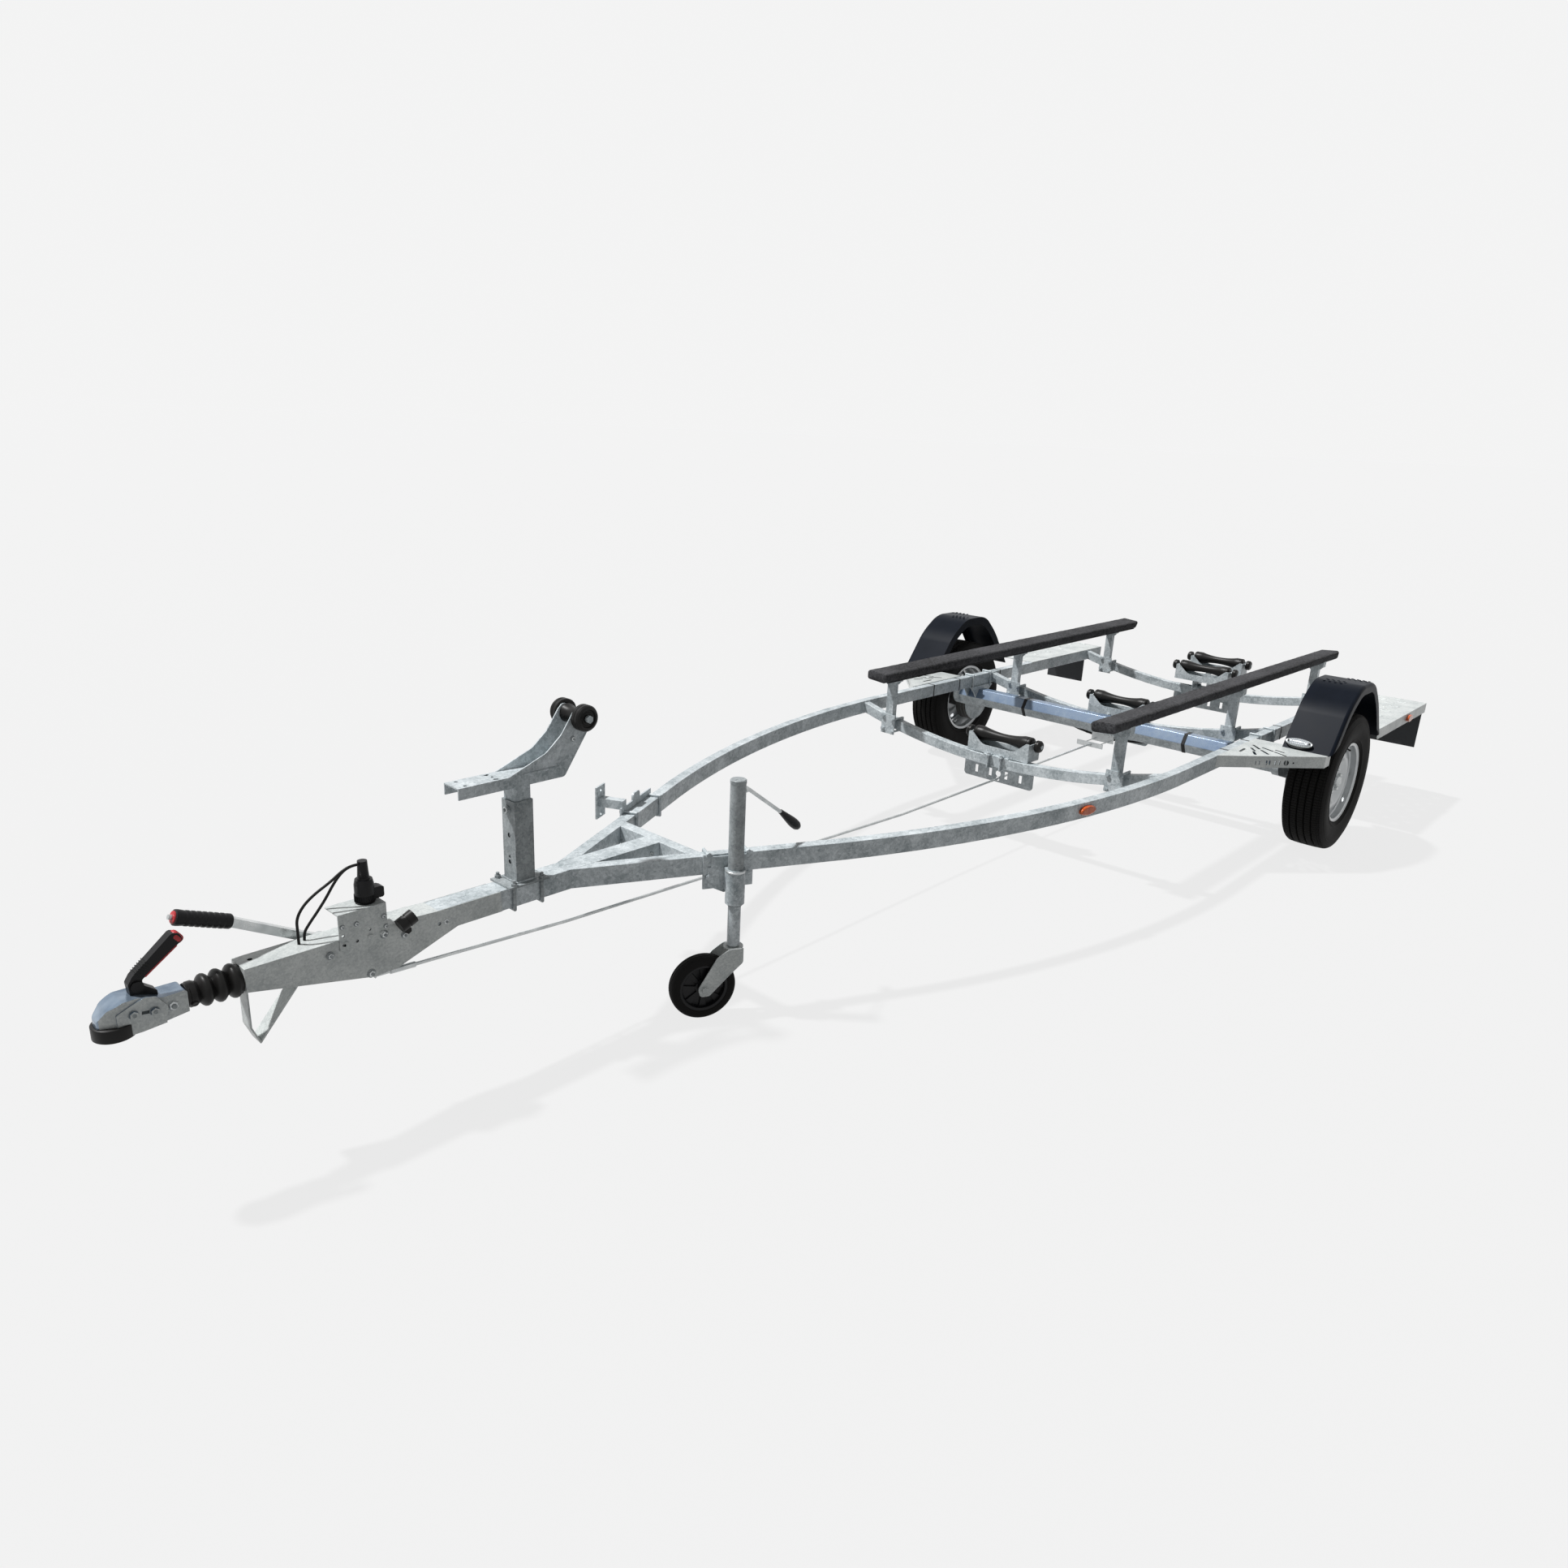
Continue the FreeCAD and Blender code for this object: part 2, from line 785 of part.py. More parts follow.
def rim_profile():
    """The rim's outer line from the inner flange to the outer one, as radius and Y."""
    half = rim_width / 2
    y0 = half_track - half
    y1 = half_track + half
    well_start = half_track - rim_well_width / 2 + wheel_offset / 2
    return [
        (rim_flange_radius, y0), (rim_flange_radius, y0 + rim_wall),
        (rim_seat_radius, y0 + rim_flange_width), (rim_seat_radius, y0 + rim_flange_width + rim_seat_width),
        (rim_well_radius, well_start), (rim_well_radius, well_start + rim_well_width / 2),
        (rim_seat_radius, y1 - rim_flange_width - rim_seat_width),
        (rim_seat_radius, y1 - rim_flange_width), (rim_flange_radius, y1 - rim_wall),
        (rim_flange_radius, y1),
    ]


def wheel_centre(y=0):
    return Vec(0, y, wheel_height)


def make_rim():
    """The left steel wheel with hub, brake drum, nuts and cap."""
    outer = rim_profile()
    inner = [(r - rim_wall, y) for r, y in reversed(outer[1:-1])]
    inner[0] = (rim_seat_radius - rim_wall, outer[-1][1])
    inner[-1] = (rim_seat_radius - rim_wall, outer[0][1])
    barrel = revolve(outer + inner, wheel_centre(), Y_AXIS)
    crown = disc_y + disc_crown_rise
    join = rim_seat_radius - rim_wall
    disc = revolve([
        (hub_bore_radius, disc_y), (hub_face_radius, disc_y), (disc_crown_radius, crown),
        (disc_bowl_radius, crown), (join, crown - rim_seat_width / 2),
        (join, crown - rim_seat_width / 2 - rim_wall),
        (disc_bowl_radius - rim_wall, crown - rim_wall), (disc_crown_radius + rim_wall, crown - rim_wall),
        (hub_face_radius + rim_wall, disc_y - rim_wall), (hub_bore_radius, disc_y - rim_wall),
    ], wheel_centre(), Y_AXIS)
    back = disc_y - rim_wall
    drum = revolve([
        (spindle_radius + run_gap, drum_inner_y), (drum_radius, drum_inner_y),
        (drum_radius, drum_inner_y + drum_width), (hub_radius, drum_inner_y + drum_width),
        (hub_radius, back), (spindle_radius + run_gap, back),
    ], wheel_centre(), Y_AXIS)
    cap = revolve([
        (0, back + overrun), (spindle_radius, back), (hub_cap_radius, back),
        (hub_cap_radius, hub_end_y - overrun), (hub_cap_radius - overrun, hub_end_y), (0, hub_end_y),
    ], wheel_centre(), Y_AXIS)
    pieces = [barrel, disc, drum, cap]
    for k in range(wheel_bolts):
        angle = 2 * math.pi * k / wheel_bolts
        place = Vec(wheel_bolt_circle * math.cos(angle), disc_y,
                    wheel_height + wheel_bolt_circle * math.sin(angle))
        pieces.append(hex_nut(place, Y_AXIS, nut_radius, nut_height * 2))
    return fuse(pieces)


def make_tyre():
    """The left tyre, seated on the rim."""
    half = tyre_width / 2
    tread = tread_width / 2
    bead = rim_seat_radius + seat_gap
    grip = rim_width / 2 - rim_flange_width - seat_gap
    profile = [
        (bead, -grip), (rim_flange_radius + seat_gap, -grip - seat_gap),
        (rim_flange_radius + rim_flange_width, -rim_width / 2 - overrun),
        (tyre_side_radius, -half), (tyre_radius - tyre_shoulder, -half + overrun * 2),
        (tyre_radius - overrun * 2, -tread - overrun * 2), (tyre_radius, -tread + tyre_shoulder),
    ]
    line = [(r, half_track + y) for r, y in profile] + [(r, half_track - y) for r, y in reversed(profile)]
    return revolve(line, wheel_centre(), Y_AXIS)


# Mudguards, steps and lamps
def guard_outline(inset):
    """The mudguard's side outline, moved inwards."""
    lean = inset * guard_lean_share
    drop = overrun if inset else 0
    return [
        (guard_front_foot - inset, step_top - drop),
        (guard_front_knee - lean, guard_front_knee_height - inset),
        (guard_front_shoulder - lean, guard_top - inset),
        (guard_rear_shoulder + lean, guard_top - inset),
        (guard_rear_knee + lean, guard_rear_knee_height - inset),
        (guard_rear_foot + inset, guard_rear_foot_height - drop),
        (guard_rear_foot + inset + guard_lip, guard_rear_foot_height - drop),
        (guard_rear_foot + inset + guard_lip, step_top - drop),
    ]


def make_mudguard():
    """The left mudguard: a folded shell with a lip turned in along both sides."""
    y0 = guard_inner_y
    y1 = guard_inner_y + guard_width
    bend = guard_corner_radius

    def radii(less):
        return [0, bend - less, bend - less, bend - less, bend - less, 0, 0, 0]

    outer = side_plate(guard_outline(0), y0, y1, radii(0))
    inner = side_plate(guard_outline(guard_wall), y0 + guard_wall, y1 - guard_wall, radii(guard_wall))
    mouth = side_plate(guard_outline(guard_lip), y0 - overrun, y1 + overrun, radii(guard_lip))
    return outer.cut(inner).cut(mouth)


def make_front_step():
    """The perforated three-cornered plate ahead of the left wheel, its edge turned down."""
    corners = [(front_step_tip, rail_outer_y), (front_step_corner, front_step_half_width),
               (front_step_rear, front_step_half_width), (front_step_rear, rail_outer_y)]
    top = flat_plate(corners, frame_top, step_top)
    run = Vec(front_step_corner - front_step_tip, front_step_half_width - rail_outer_y, 0)
    side = Vec(run.y, -run.x, 0).normalize().multiply(-sheet)
    lip_corners = [corners[0], corners[1], (corners[1][0] + side.x, corners[1][1] + side.y),
                   (corners[0][0] + side.x, corners[0][1] + side.y)]
    lip = flat_plate(lip_corners, frame_top - step_lip, frame_top)
    end_lip = box(front_step_rear, front_step_corner, front_step_half_width - sheet,
                  front_step_half_width, frame_top - step_lip, frame_top)
    flange = box(front_step_rear, front_step_tip - step_lip, rail_outer_y, rail_outer_y + sheet,
                 frame_top - step_lip, frame_top)
    body = fuse([top, lip, end_lip, flange])
    rail_side = box(front_step_rear, front_step_tip + rail_width, rail_inner_y, rail_outer_y,
                    frame_bottom, step_top)
    return body.cut(rail_side)


def make_rear_step():
    """The walkway plate from the left mudguard back to the rear corner."""
    y1 = rear_step_half_width
    top = box(rail_rear, rear_step_front, rail_inner_y, y1, frame_top, step_top)
    lip = box(rail_rear, rear_step_front, y1 - sheet, y1, frame_top - step_lip, frame_top)
    rear = box(rail_rear, rail_rear + sheet, rail_outer_y, y1, frame_top - step_lip, frame_top)
    flange = box(rail_rear, rear_step_front, rail_outer_y, rail_outer_y + sheet,
                 frame_top - step_lip, frame_top)
    return fuse([top, lip, rear, flange])


def make_lamp_board():
    """The black board that hangs from the left rear corner, behind the step's lip."""
    x1 = rail_rear
    x0 = x1 - lamp_board_wall
    return box(x0, x1, lamp_board_inner, lamp_board_outer, lamp_board_bottom, lamp_board_top)


def make_tail_lamp():
    x1 = rail_rear - lamp_board_wall
    lamp = box(x1 - lamp_depth, x1, lamp_inner, lamp_inner + lamp_width,
               lamp_bottom, lamp_bottom + lamp_height)
    edges = [e for e in lamp.Edges if e.BoundBox.XMax < x1 - lamp_depth / 2]
    return lamp.makeFillet(lamp_depth / 4, edges)


def oval_lamp(centre, out, along, half_length, half_height, depth):
    """A lamp with an oval lens that stands on a face."""
    ellipse = Part.Ellipse(Vec(0, 0, 0), half_length, half_height)
    face = Part.Face(Part.Wire([ellipse.toShape()]))
    solid = face.extrude(Vec(0, 0, depth))
    top = [e for e in solid.Edges if abs(e.BoundBox.ZMin - depth) < seat_gap and e.BoundBox.ZLength < seat_gap]
    solid = solid.makeFillet(depth / 3, top)
    up = out.cross(along)
    turn = FreeCAD.Rotation(along, up, out, "ZXY")
    solid.Placement = FreeCAD.Placement(centre, turn)
    return solid


def make_front_lamp():
    """The white position lamp low on the left mudguard's front slope."""
    foot = Vec(guard_front_foot, 0, step_top)
    knee = Vec(guard_front_knee, 0, guard_front_knee_height)
    slope = knee.sub(foot).normalize()
    out = Vec(slope.z, 0, -slope.x)
    centre = foot.add(Vec(slope).multiply(front_lamp_half_height + plate))
    centre.y = front_lamp_y
    return oval_lamp(centre, out, Y_AXIS, front_lamp_half_length, front_lamp_half_height, front_lamp_depth)


def make_side_markers():
    """The two amber lamps of the left side: on the curved rail and on the rear step's lip."""
    curve = rail_curve(half_rail)
    radius = rail_bend_radius + half_rail
    turn = math.asin((side_marker_station - rail_bend_front) / radius)
    out = Vec(math.sin(turn), math.cos(turn), 0)
    face = Vec(side_marker_station, curve[1].y - radius * (1 - math.cos(turn)), frame_top - tube_height / 2)
    seat = face.sub(Vec(out).multiply(marker_depth / 2))
    along = Vec(math.cos(turn), -math.sin(turn), 0)
    first = oval_lamp(seat, out, along, marker_half_length, marker_half_height, marker_depth * 1.5)
    first = first.cut(make_rail())
    first = max(first.Solids, key=lambda s: s.CenterOfMass.y)
    rear_seat = Vec(rear_marker_station, rear_step_half_width, frame_top - step_lip / 2)
    second = oval_lamp(rear_seat, Y_AXIS, X_AXIS, marker_half_length, marker_half_height, marker_depth)
    return first, second


# Coupling head, bellows and overrun housing
def make_housing():
    """Pressed housing that wraps the drawbar's front end and carries the coupling's shaft."""
    shoulder = drawbar_front - drawbar_width * 2
    outer_line = [
        (housing_front, housing_front_bottom), (housing_front, housing_roof),
        (shoulder, housing_roof), (shoulder - tube_height, frame_top),
        (housing_rear, frame_top), (housing_rear - housing_wall, frame_bottom),
        (housing_rise_station, frame_bottom),
        (housing_low_station - tube_height, housing_low_height + housing_wall),
        (housing_low_station, housing_low_height),
    ]
    outer = side_plate(outer_line, -housing_half, housing_half)
    floor_slope = (housing_front_bottom - housing_low_height) / (housing_front - housing_low_station)
    floor_rear = housing_low_station + tube_height * 2
    inner_front = housing_front - housing_wall

    def floor(x):
        return housing_low_height + (x - housing_low_station) * floor_slope + housing_wall

    below = housing_low_height - overrun
    rear = housing_rear - housing_wall - overrun
    inner_line = [(rear, below), (floor_rear, below), (floor_rear, floor(floor_rear)),
                  (inner_front, floor(inner_front)), (inner_front, frame_top), (rear, frame_top)]
    inner = side_plate(inner_line, -half_drawbar, half_drawbar)
    return outer.cut(inner)


def head_plan(gap):
    """The coupling head's outline seen from above as a tall block, grown by gap."""
    cup = ball_radius + ball_gap + cup_wall + gap
    neck = head_tube_radius + gap
    half = head_half_width + gap
    nose = ball_station + cup + overrun
    plan = [
        (head_rear, -neck), (lever_pivot_x, -half), (ball_station, -cup), (nose, -cup / 2),
        (nose, cup / 2), (ball_station, cup), (lever_pivot_x, half), (head_rear, neck),
    ]
    rounding = [0, half, half, cup / 3, cup / 3, half, half, 0]
    return flat_plate(plan, ball_height - cup * 2, shaft_height + cup * 2, rounding)


def make_coupling_head():
    """Pressed ball coupling: cup over the ball, cheeks, and the tube on the shaft."""
    cup = ball_radius + ball_gap + cup_wall
    nose = ball_station + cup + overrun
    floor = ball_height - cup_wall * 2
    side = [
        (head_rear, shaft_height - head_tube_radius), (head_rear, shaft_height + head_tube_radius),
        (head_slope_foot, shaft_height + head_tube_radius), (head_crest_rear, head_crest_height),
        (head_crest_front, head_crest_height), (head_brow_x, head_brow_height), (nose, head_nose_height),
        (nose, floor), (head_crest_rear, floor),
    ]
    radii = [0, cup_wall, 0, 0, cup_wall * 2, cup_wall * 2, cup_wall * 2, 0, cup_wall]
    reach = head_half_width + sheet
    body = side_plate(side, -reach, reach, radii)
    body = body.common(head_plan(0))

    def spot(shares):
        return (head_rear + (ball_station - head_rear) * shares[0],
                shaft_height + (head_crest_height - shaft_height) * shares[1])

    cheek_line = [spot(shares) for shares in cheek_shares]
    cheek_radii = [head_half_width * share for share in cheek_round_shares]
    cheeks = [side_plate(cheek_line, y, y + sheet, cheek_radii) for y in (-reach, head_half_width)]
    web_line = [(head_slope_foot, floor + sheet), (head_crest_rear, floor), (ball_station, floor),
                (ball_station, shaft_height), (head_slope_foot, shaft_height)]
    web = side_plate(web_line, -reach, reach)
    socket = ball_radius + ball_gap
    ball = Part.makeSphere(socket, Vec(ball_station, 0, ball_height))
    throat = rod(Vec(ball_station, 0, ball_height - cup * 2), Vec(ball_station, 0, ball_height), socket)
    pieces = [body, web] + cheeks
    for side_way, face in ((Y_AXIS, reach), (Vec(0, -1, 0), -reach)):
        for shares in cheek_bolt_shares:
            x, z = spot(shares)
            pieces.append(hex_nut(Vec(x, face, z), side_way, nut_radius, nut_height))
    tube_bolt_x, tube_bolt_height = spot((tube_bolt_share, 0))
    for side_way, face in ((Y_AXIS, head_tube_radius), (Vec(0, -1, 0), -head_tube_radius)):
        foot = Vec(tube_bolt_x, face - side_way.y * overrun, tube_bolt_height)
        pieces.append(hex_nut(foot, side_way, nut_radius, nut_height))
    return fuse(pieces).cut(ball).cut(throat)


def make_nose_boot():
    """Rubber ring round the cup's mouth, open where the head's body passes through it."""
    socket = ball_radius + ball_gap
    low = ball_height - cup_wall * 2 - sheet
    high = low + boot_height
    ring_line = [
        (socket + overrun, low), (boot_radius - overrun, low), (boot_radius, low + overrun),
        (boot_radius, high - overrun), (boot_radius - overrun, high), (socket + overrun, high),
    ]
    boot = revolve(ring_line, Vec(ball_station, 0, 0), Z_AXIS)
    above = box(head_rear, front_end + overrun, -boot_radius, boot_radius, low + sheet - seat_gap, high + overrun)
    boot = boot.cut(head_plan(seat_gap).common(above))
    room = head_half_width + sheet + seat_gap
    boot = boot.cut(box(head_rear, ball_station + overrun + seat_gap, -room, room, low + sheet - seat_gap,
                        high + overrun))
    return max(boot.Solids, key=lambda s: s.Volume)


def make_bellows():
    """Rubber gaiter with a plain collar, growing towards the housing."""
    length = head_rear - bellows_rear
    folds = length - bellows_collar_length
    pitch = folds / bellows_ridges
    profile = [(0, bellows_rear), (bellows_valley_radius, bellows_rear)]
    for k in range(bellows_ridges):
        start = bellows_rear + pitch * k
        grow = (bellows_ridge_radius - bellows_collar_radius) * k / bellows_ridges / 2
        crest = bellows_ridge_radius - grow
        if k:
            profile.append((bellows_valley_radius - grow, start))
        profile.append((crest, start + pitch * 0.35))
        profile.append((crest, start + pitch * 0.65))
    collar = head_rear - bellows_collar_length
    profile += [(bellows_valley_radius - overrun, collar), (bellows_collar_radius, collar + overrun),
                (bellows_collar_radius, head_rear), (0, head_rear)]
    return revolve(profile, Vec(0, 0, shaft_height), X_AXIS)


def make_coupling_lever():
    """Hand lever that locks the coupling, standing up and back over the head, with its pivot's boss."""
    tube_top = shaft_height + head_tube_radius
    slope = (head_crest_height - tube_top) / (head_crest_rear - head_slope_foot)
    base = head_crest_height + seat_gap
    foot = tube_top + (lever_foot_x - head_slope_foot) * slope + seat_gap * 2
    line = [(lever_toe_x, base), (head_crest_rear, base), (lever_foot_x, foot),
            (lever_foot_x, foot + lever_foot_depth)]
    line += [(lever_pivot_x - lever_reach * back, lever_pivot_height + lever_rise * up)
             for back, up in lever_shares]
    radii = [0, 0, 0, lever_foot_depth / 2] + [lever_width * share for share in lever_round_shares]
    arm = side_plate(line, -lever_width / 2, lever_width / 2, radii)
    boss = rod(Vec(lever_pivot_x, -lever_boss_half, lever_pivot_height),
               Vec(lever_pivot_x, lever_boss_half, lever_pivot_height), lever_boss_radius)
    return fuse([arm, boss])


def make_handbrake_lever():
    """Square lever with a bend, a round grip and its release button."""
    half = brake_lever_size / 2
    y0 = brake_lever_y - half
    y1 = brake_lever_y + half
    pivot = (brake_pivot_x, brake_pivot_z)
    bend = (brake_bend_x, brake_bend_z)
    tube = bar_xz(pivot, bend, brake_lever_size, y0, y1)
    boss = rod(Vec(pivot[0], y0, pivot[1]), Vec(pivot[0], -housing_half, pivot[1]), half * 1.6)
    bend_point = Vec(bend[0], brake_lever_y, bend[1])
    grip_point = Vec(brake_grip_x, brake_lever_y, brake_grip_z)
    along = grip_point.sub(bend_point).normalize()
    grip = rod(bend_point, grip_point, brake_grip_radius)
    button = rod(grip_point, grip_point.add(Vec(along).multiply(brake_button_length)), brake_button_radius)
    return fuse([tube, boss, grip, button])


def make_strap_stand(housing):
    """V of flat strap under the housing that keeps the coupling off the ground."""
    half = strap_width / 2
    inset = sheet / 2
    points = [(strap_front - inset, housing_front_bottom), (strap_front - inset, strap_turn_height),
              (strap_tip_x, strap_tip_height), (strap_rear_x, strap_rear_height)]
    strap = ribbon(points, sheet, -half, half)
    return strap.cut(housing)


def make_plug_holder():
    """Folded plate on the housing's left side with a shelf for the plug."""
    y0 = housing_half
    wall = box(holder_rear, holder_front, y0, y0 + sheet, holder_bottom, holder_top)
    shelf = box(holder_rear, holder_front, y0 + sheet - holder_reach, y0 + sheet, holder_top - sheet, holder_top)
    hole = rod(Vec(plug_station, plug_y, holder_top - sheet - overrun),
               Vec(plug_station, plug_y, holder_top + overrun), plug_skirt_radius + seat_gap)
    holder = fuse([wall, shelf]).cut(hole)
    for share in holder_bolt_shares:
        x = holder_rear + (holder_front - holder_rear) * share
        z = holder_bottom + sheet * 4
        holder = holder.fuse(hex_nut(Vec(x, y0 + sheet, z), Y_AXIS, nut_radius * 0.8, nut_height / 2))
    return holder.removeSplitter()


def make_plug():
    """The lighting plug, parked upright in the holder, with the lug on its rear side."""
    neck = holder_top + plug_height
    body = revolve([
        (0, holder_top - plug_skirt), (plug_skirt_radius, holder_top - plug_skirt),
        (plug_skirt_radius, holder_top), (plug_radius, holder_top),
        (plug_radius, neck - plug_skirt), (plug_skirt_radius, neck),
        (plug_neck_radius, neck), (plug_neck_radius - overrun, neck + plug_neck_height),
        (0, neck + plug_neck_height),
    ], Vec(plug_station, plug_y, 0), Z_AXIS)
    lug_line = [
        (plug_station - plug_radius / 2, lug_bottom), (lug_rear + sheet, lug_bottom), (lug_rear, lug_bottom + sheet),
        (lug_rear, lug_top - sheet), (lug_rear + sheet * 2, lug_top), (plug_station - plug_radius / 2, lug_top),
    ]
    lug = side_plate(lug_line, plug_y - lug_half_width, plug_y + lug_half_width)
    return fuse([body, lug])


def make_plug_lead():
    """The plug's lead, from its neck's side down to the housing's roof."""
    return tube_along([Vec(*p) for p in plug_lead_route], cable_radius, name="plug lead")


def make_second_lead():
    """The second lead, beside the first."""
    return tube_along([Vec(*p) for p in second_lead_route], cable_radius, name="second lead")


# Routes of the two leads, chosen by hand
plug_lead_route = [
    (4181.6, 10, 694), (4200, 9, 695), (4222, 4, 684), (4249, 0, 663), (4288, -6, 640),
    (4316, -10, 616), (4335, -9, 588), (4336, -6, 556), (4336, -6, 523.3),
]
second_lead_route = [
    (4181.6, 1, 690), (4198, -1, 690), (4219, -6, 676), (4238, -12, 649), (4255, -18, 617),
    (4277, -20, 588), (4302, -20, 560), (4317, -18, 542), (4317, -18, 523.3),
]


def make_buffer():
    """Black rubber buffer that leans back over the housing's left edge, on a bolted stub."""
    y = housing_half + buffer_radius + seat_gap
    lean = math.radians(buffer_lean)
    along = Vec(-math.cos(lean), 0, math.sin(lean))
    centre = Vec(buffer_station, y, buffer_height)
    half = buffer_length / 2
    front = centre.sub(Vec(along).multiply(half))
    rear = centre.add(Vec(along).multiply(half))
    groove = centre.sub(Vec(along).multiply(overrun))
    groove_end = centre.add(Vec(along).multiply(overrun))
    body = rod(front, rear, buffer_radius).cut(rod(groove, groove_end, buffer_radius + overrun).cut(
        rod(groove, groove_end, buffer_radius - overrun)))
    foot = Vec(buffer_station, housing_half, buffer_height - buffer_stub_drop)
    stem = rod(foot, Vec(foot.x, y, foot.z), bolt_radius)
    riser = rod(Vec(foot.x, y, foot.z), centre, bolt_radius)
    head = hex_nut(Vec(foot.x, y, foot.z), Y_AXIS)
    return fuse([body, stem, riser, head])


# Brake linkage
def make_brake_rod():
    """Transfer lever in the housing, turnbuckle and the long rod to the equaliser."""
    pivot = Vec(housing_low_station + plate, 0, housing_low_height + nut_height * 2)
    pin = rod(Vec(pivot.x, -half_drawbar, pivot.z), Vec(pivot.x, half_drawbar, pivot.z), bolt_radius * 1.6)
    arm = bar_xz((pivot.x, pivot.z), (rod_front_x, rod_front_z), brake_arm_width * 2,
                 -brake_arm_width / 2, brake_arm_width / 2)
    front = Vec(rod_front_x, 0, rod_front_z)
    kink = Vec(rod_kink_x, 0, rod_kink_z)
    low = Vec(rod_low_x, 0, rod_low_z)
    nut_seat = Vec(rod_rear_x, 0, rod_rear_z)
    along = kink.sub(front).normalize()
    buckle_start = front.add(Vec(along).multiply(turnbuckle_length / 2))
    buckle_end = front.add(Vec(along).multiply(turnbuckle_length * 1.5))
    pieces = [pin, arm, rod(front, kink, rod_radius), rod(kink, low, rod_radius),
              rod(low, nut_seat, rod_radius), rod(nut_seat, nut_seat.sub(Vec(plate * 2, 0, 0)), rod_radius),
              Part.makeSphere(rod_radius, kink), Part.makeSphere(rod_radius, low),
              rod(buckle_start, buckle_end, turnbuckle_radius), hex_nut(nut_seat, X_AXIS)]
    return fuse(pieces)


def make_equaliser():
    """Cross bar that shares the pull and the plate on the axle that holds the cable ends."""
    half = equaliser_height / 2
    bar = box(rod_rear_x - plate, rod_rear_x, -equaliser_half, equaliser_half,
              rod_rear_z - half, rod_rear_z + half)
    hole = rod(Vec(rod_rear_x - plate * 2, 0, rod_rear_z), Vec(rod_rear_x + overrun, 0, rod_rear_z),
               rod_radius + run_gap)
    bar = bar.cut(hole)
    axle_bottom = axle_height - axle_flats / 2
    hanger = box(axle_station - plate / 2, axle_station + plate / 2, -abutment_half, abutment_half,
                 rod_rear_z - half, axle_bottom)
    pieces = [bar, hanger]
    for side in (-1, 1):
        y = side * brake_cable_y
        pieces.append(rod(Vec(axle_station, y, rod_rear_z), Vec(rod_rear_x - plate / 2, y, rod_rear_z),
                          rod_radius / 2))
    return fuse(pieces)


def make_brake_cable():
    """The left outer cable, behind the axle from the hanger to the back plate."""
    start = axle_station - plate / 2
    behind = axle_station - axle_flats / 2 / math.cos(math.radians(30)) - brake_cable_radius * 2
    height = axle_height - plate * 2
    entry = axle_half_length + arm_thickness
    gather = axle_flats / 2
    points = [
        Vec(start, brake_cable_y, rod_rear_z), Vec(start - gather, brake_cable_y, rod_rear_z),
        Vec(behind - plate, axle_flats * 2, rod_rear_z + plate * 2), Vec(behind, axle_flats * 4, height),
        Vec(behind, rail_inner_y - axle_flats, height), Vec(behind - axle_flats, rail_centre_y, height),
        Vec(behind - axle_flats * 2, entry - axle_flats / 2, wheel_height + gather),
        Vec(behind - axle_flats * 2, entry, wheel_height + gather),
    ]
    return tube_along(points, brake_cable_radius, axle_flats)


# Winch post and bow arm
def make_winch_post():
    """Outer tube on its base plate, clamped to the drawbar by two U-bolts."""
    half = post_outer / 2
    bore = mast_outer / 2 + mast_gap
    x = post_station
    base_top = frame_top + plate
    base = box(x - post_base_length / 2, x + post_base_length / 2, -post_base_width / 2,
               post_base_width / 2, frame_top, base_top)
    tube = box(x - half, x + half, -half, half, base_top, post_top)
    hollow = box(x - bore, x + bore, -bore, bore, base_top + plate, post_top + overrun)
    body = fuse([base, tube]).cut(hollow)
    for share in post_hole_shares:
        z = base_top + (post_top - base_top) * share
        body = body.cut(rod(Vec(x + bore - overrun, 0, z), Vec(x + half + overrun, 0, z), bolt_radius))
    bolts = []
    reach = bolt_radius + seat_gap
    for side in (-1, 1):
        at = x + side * post_bolt_pitch / 2
        low = frame_bottom - reach
        bolts.append(u_bolt(Vec(at, -half_drawbar - reach, low), Vec(at, half_drawbar + reach, low),
                            Vec(0, 0, base_top - low)))
    return fuse([body] + bolts)


def make_mast():
    """Square tube that slides in the post and carries the bow arm."""
    half = mast_outer / 2
    x = post_station
    outer = box(x - half, x + half, -half, half, mast_bottom, mast_top)
    inner = half - tube_wall
    return outer.cut(box(x - inner, x + inner, -inner, inner, mast_bottom, mast_top))


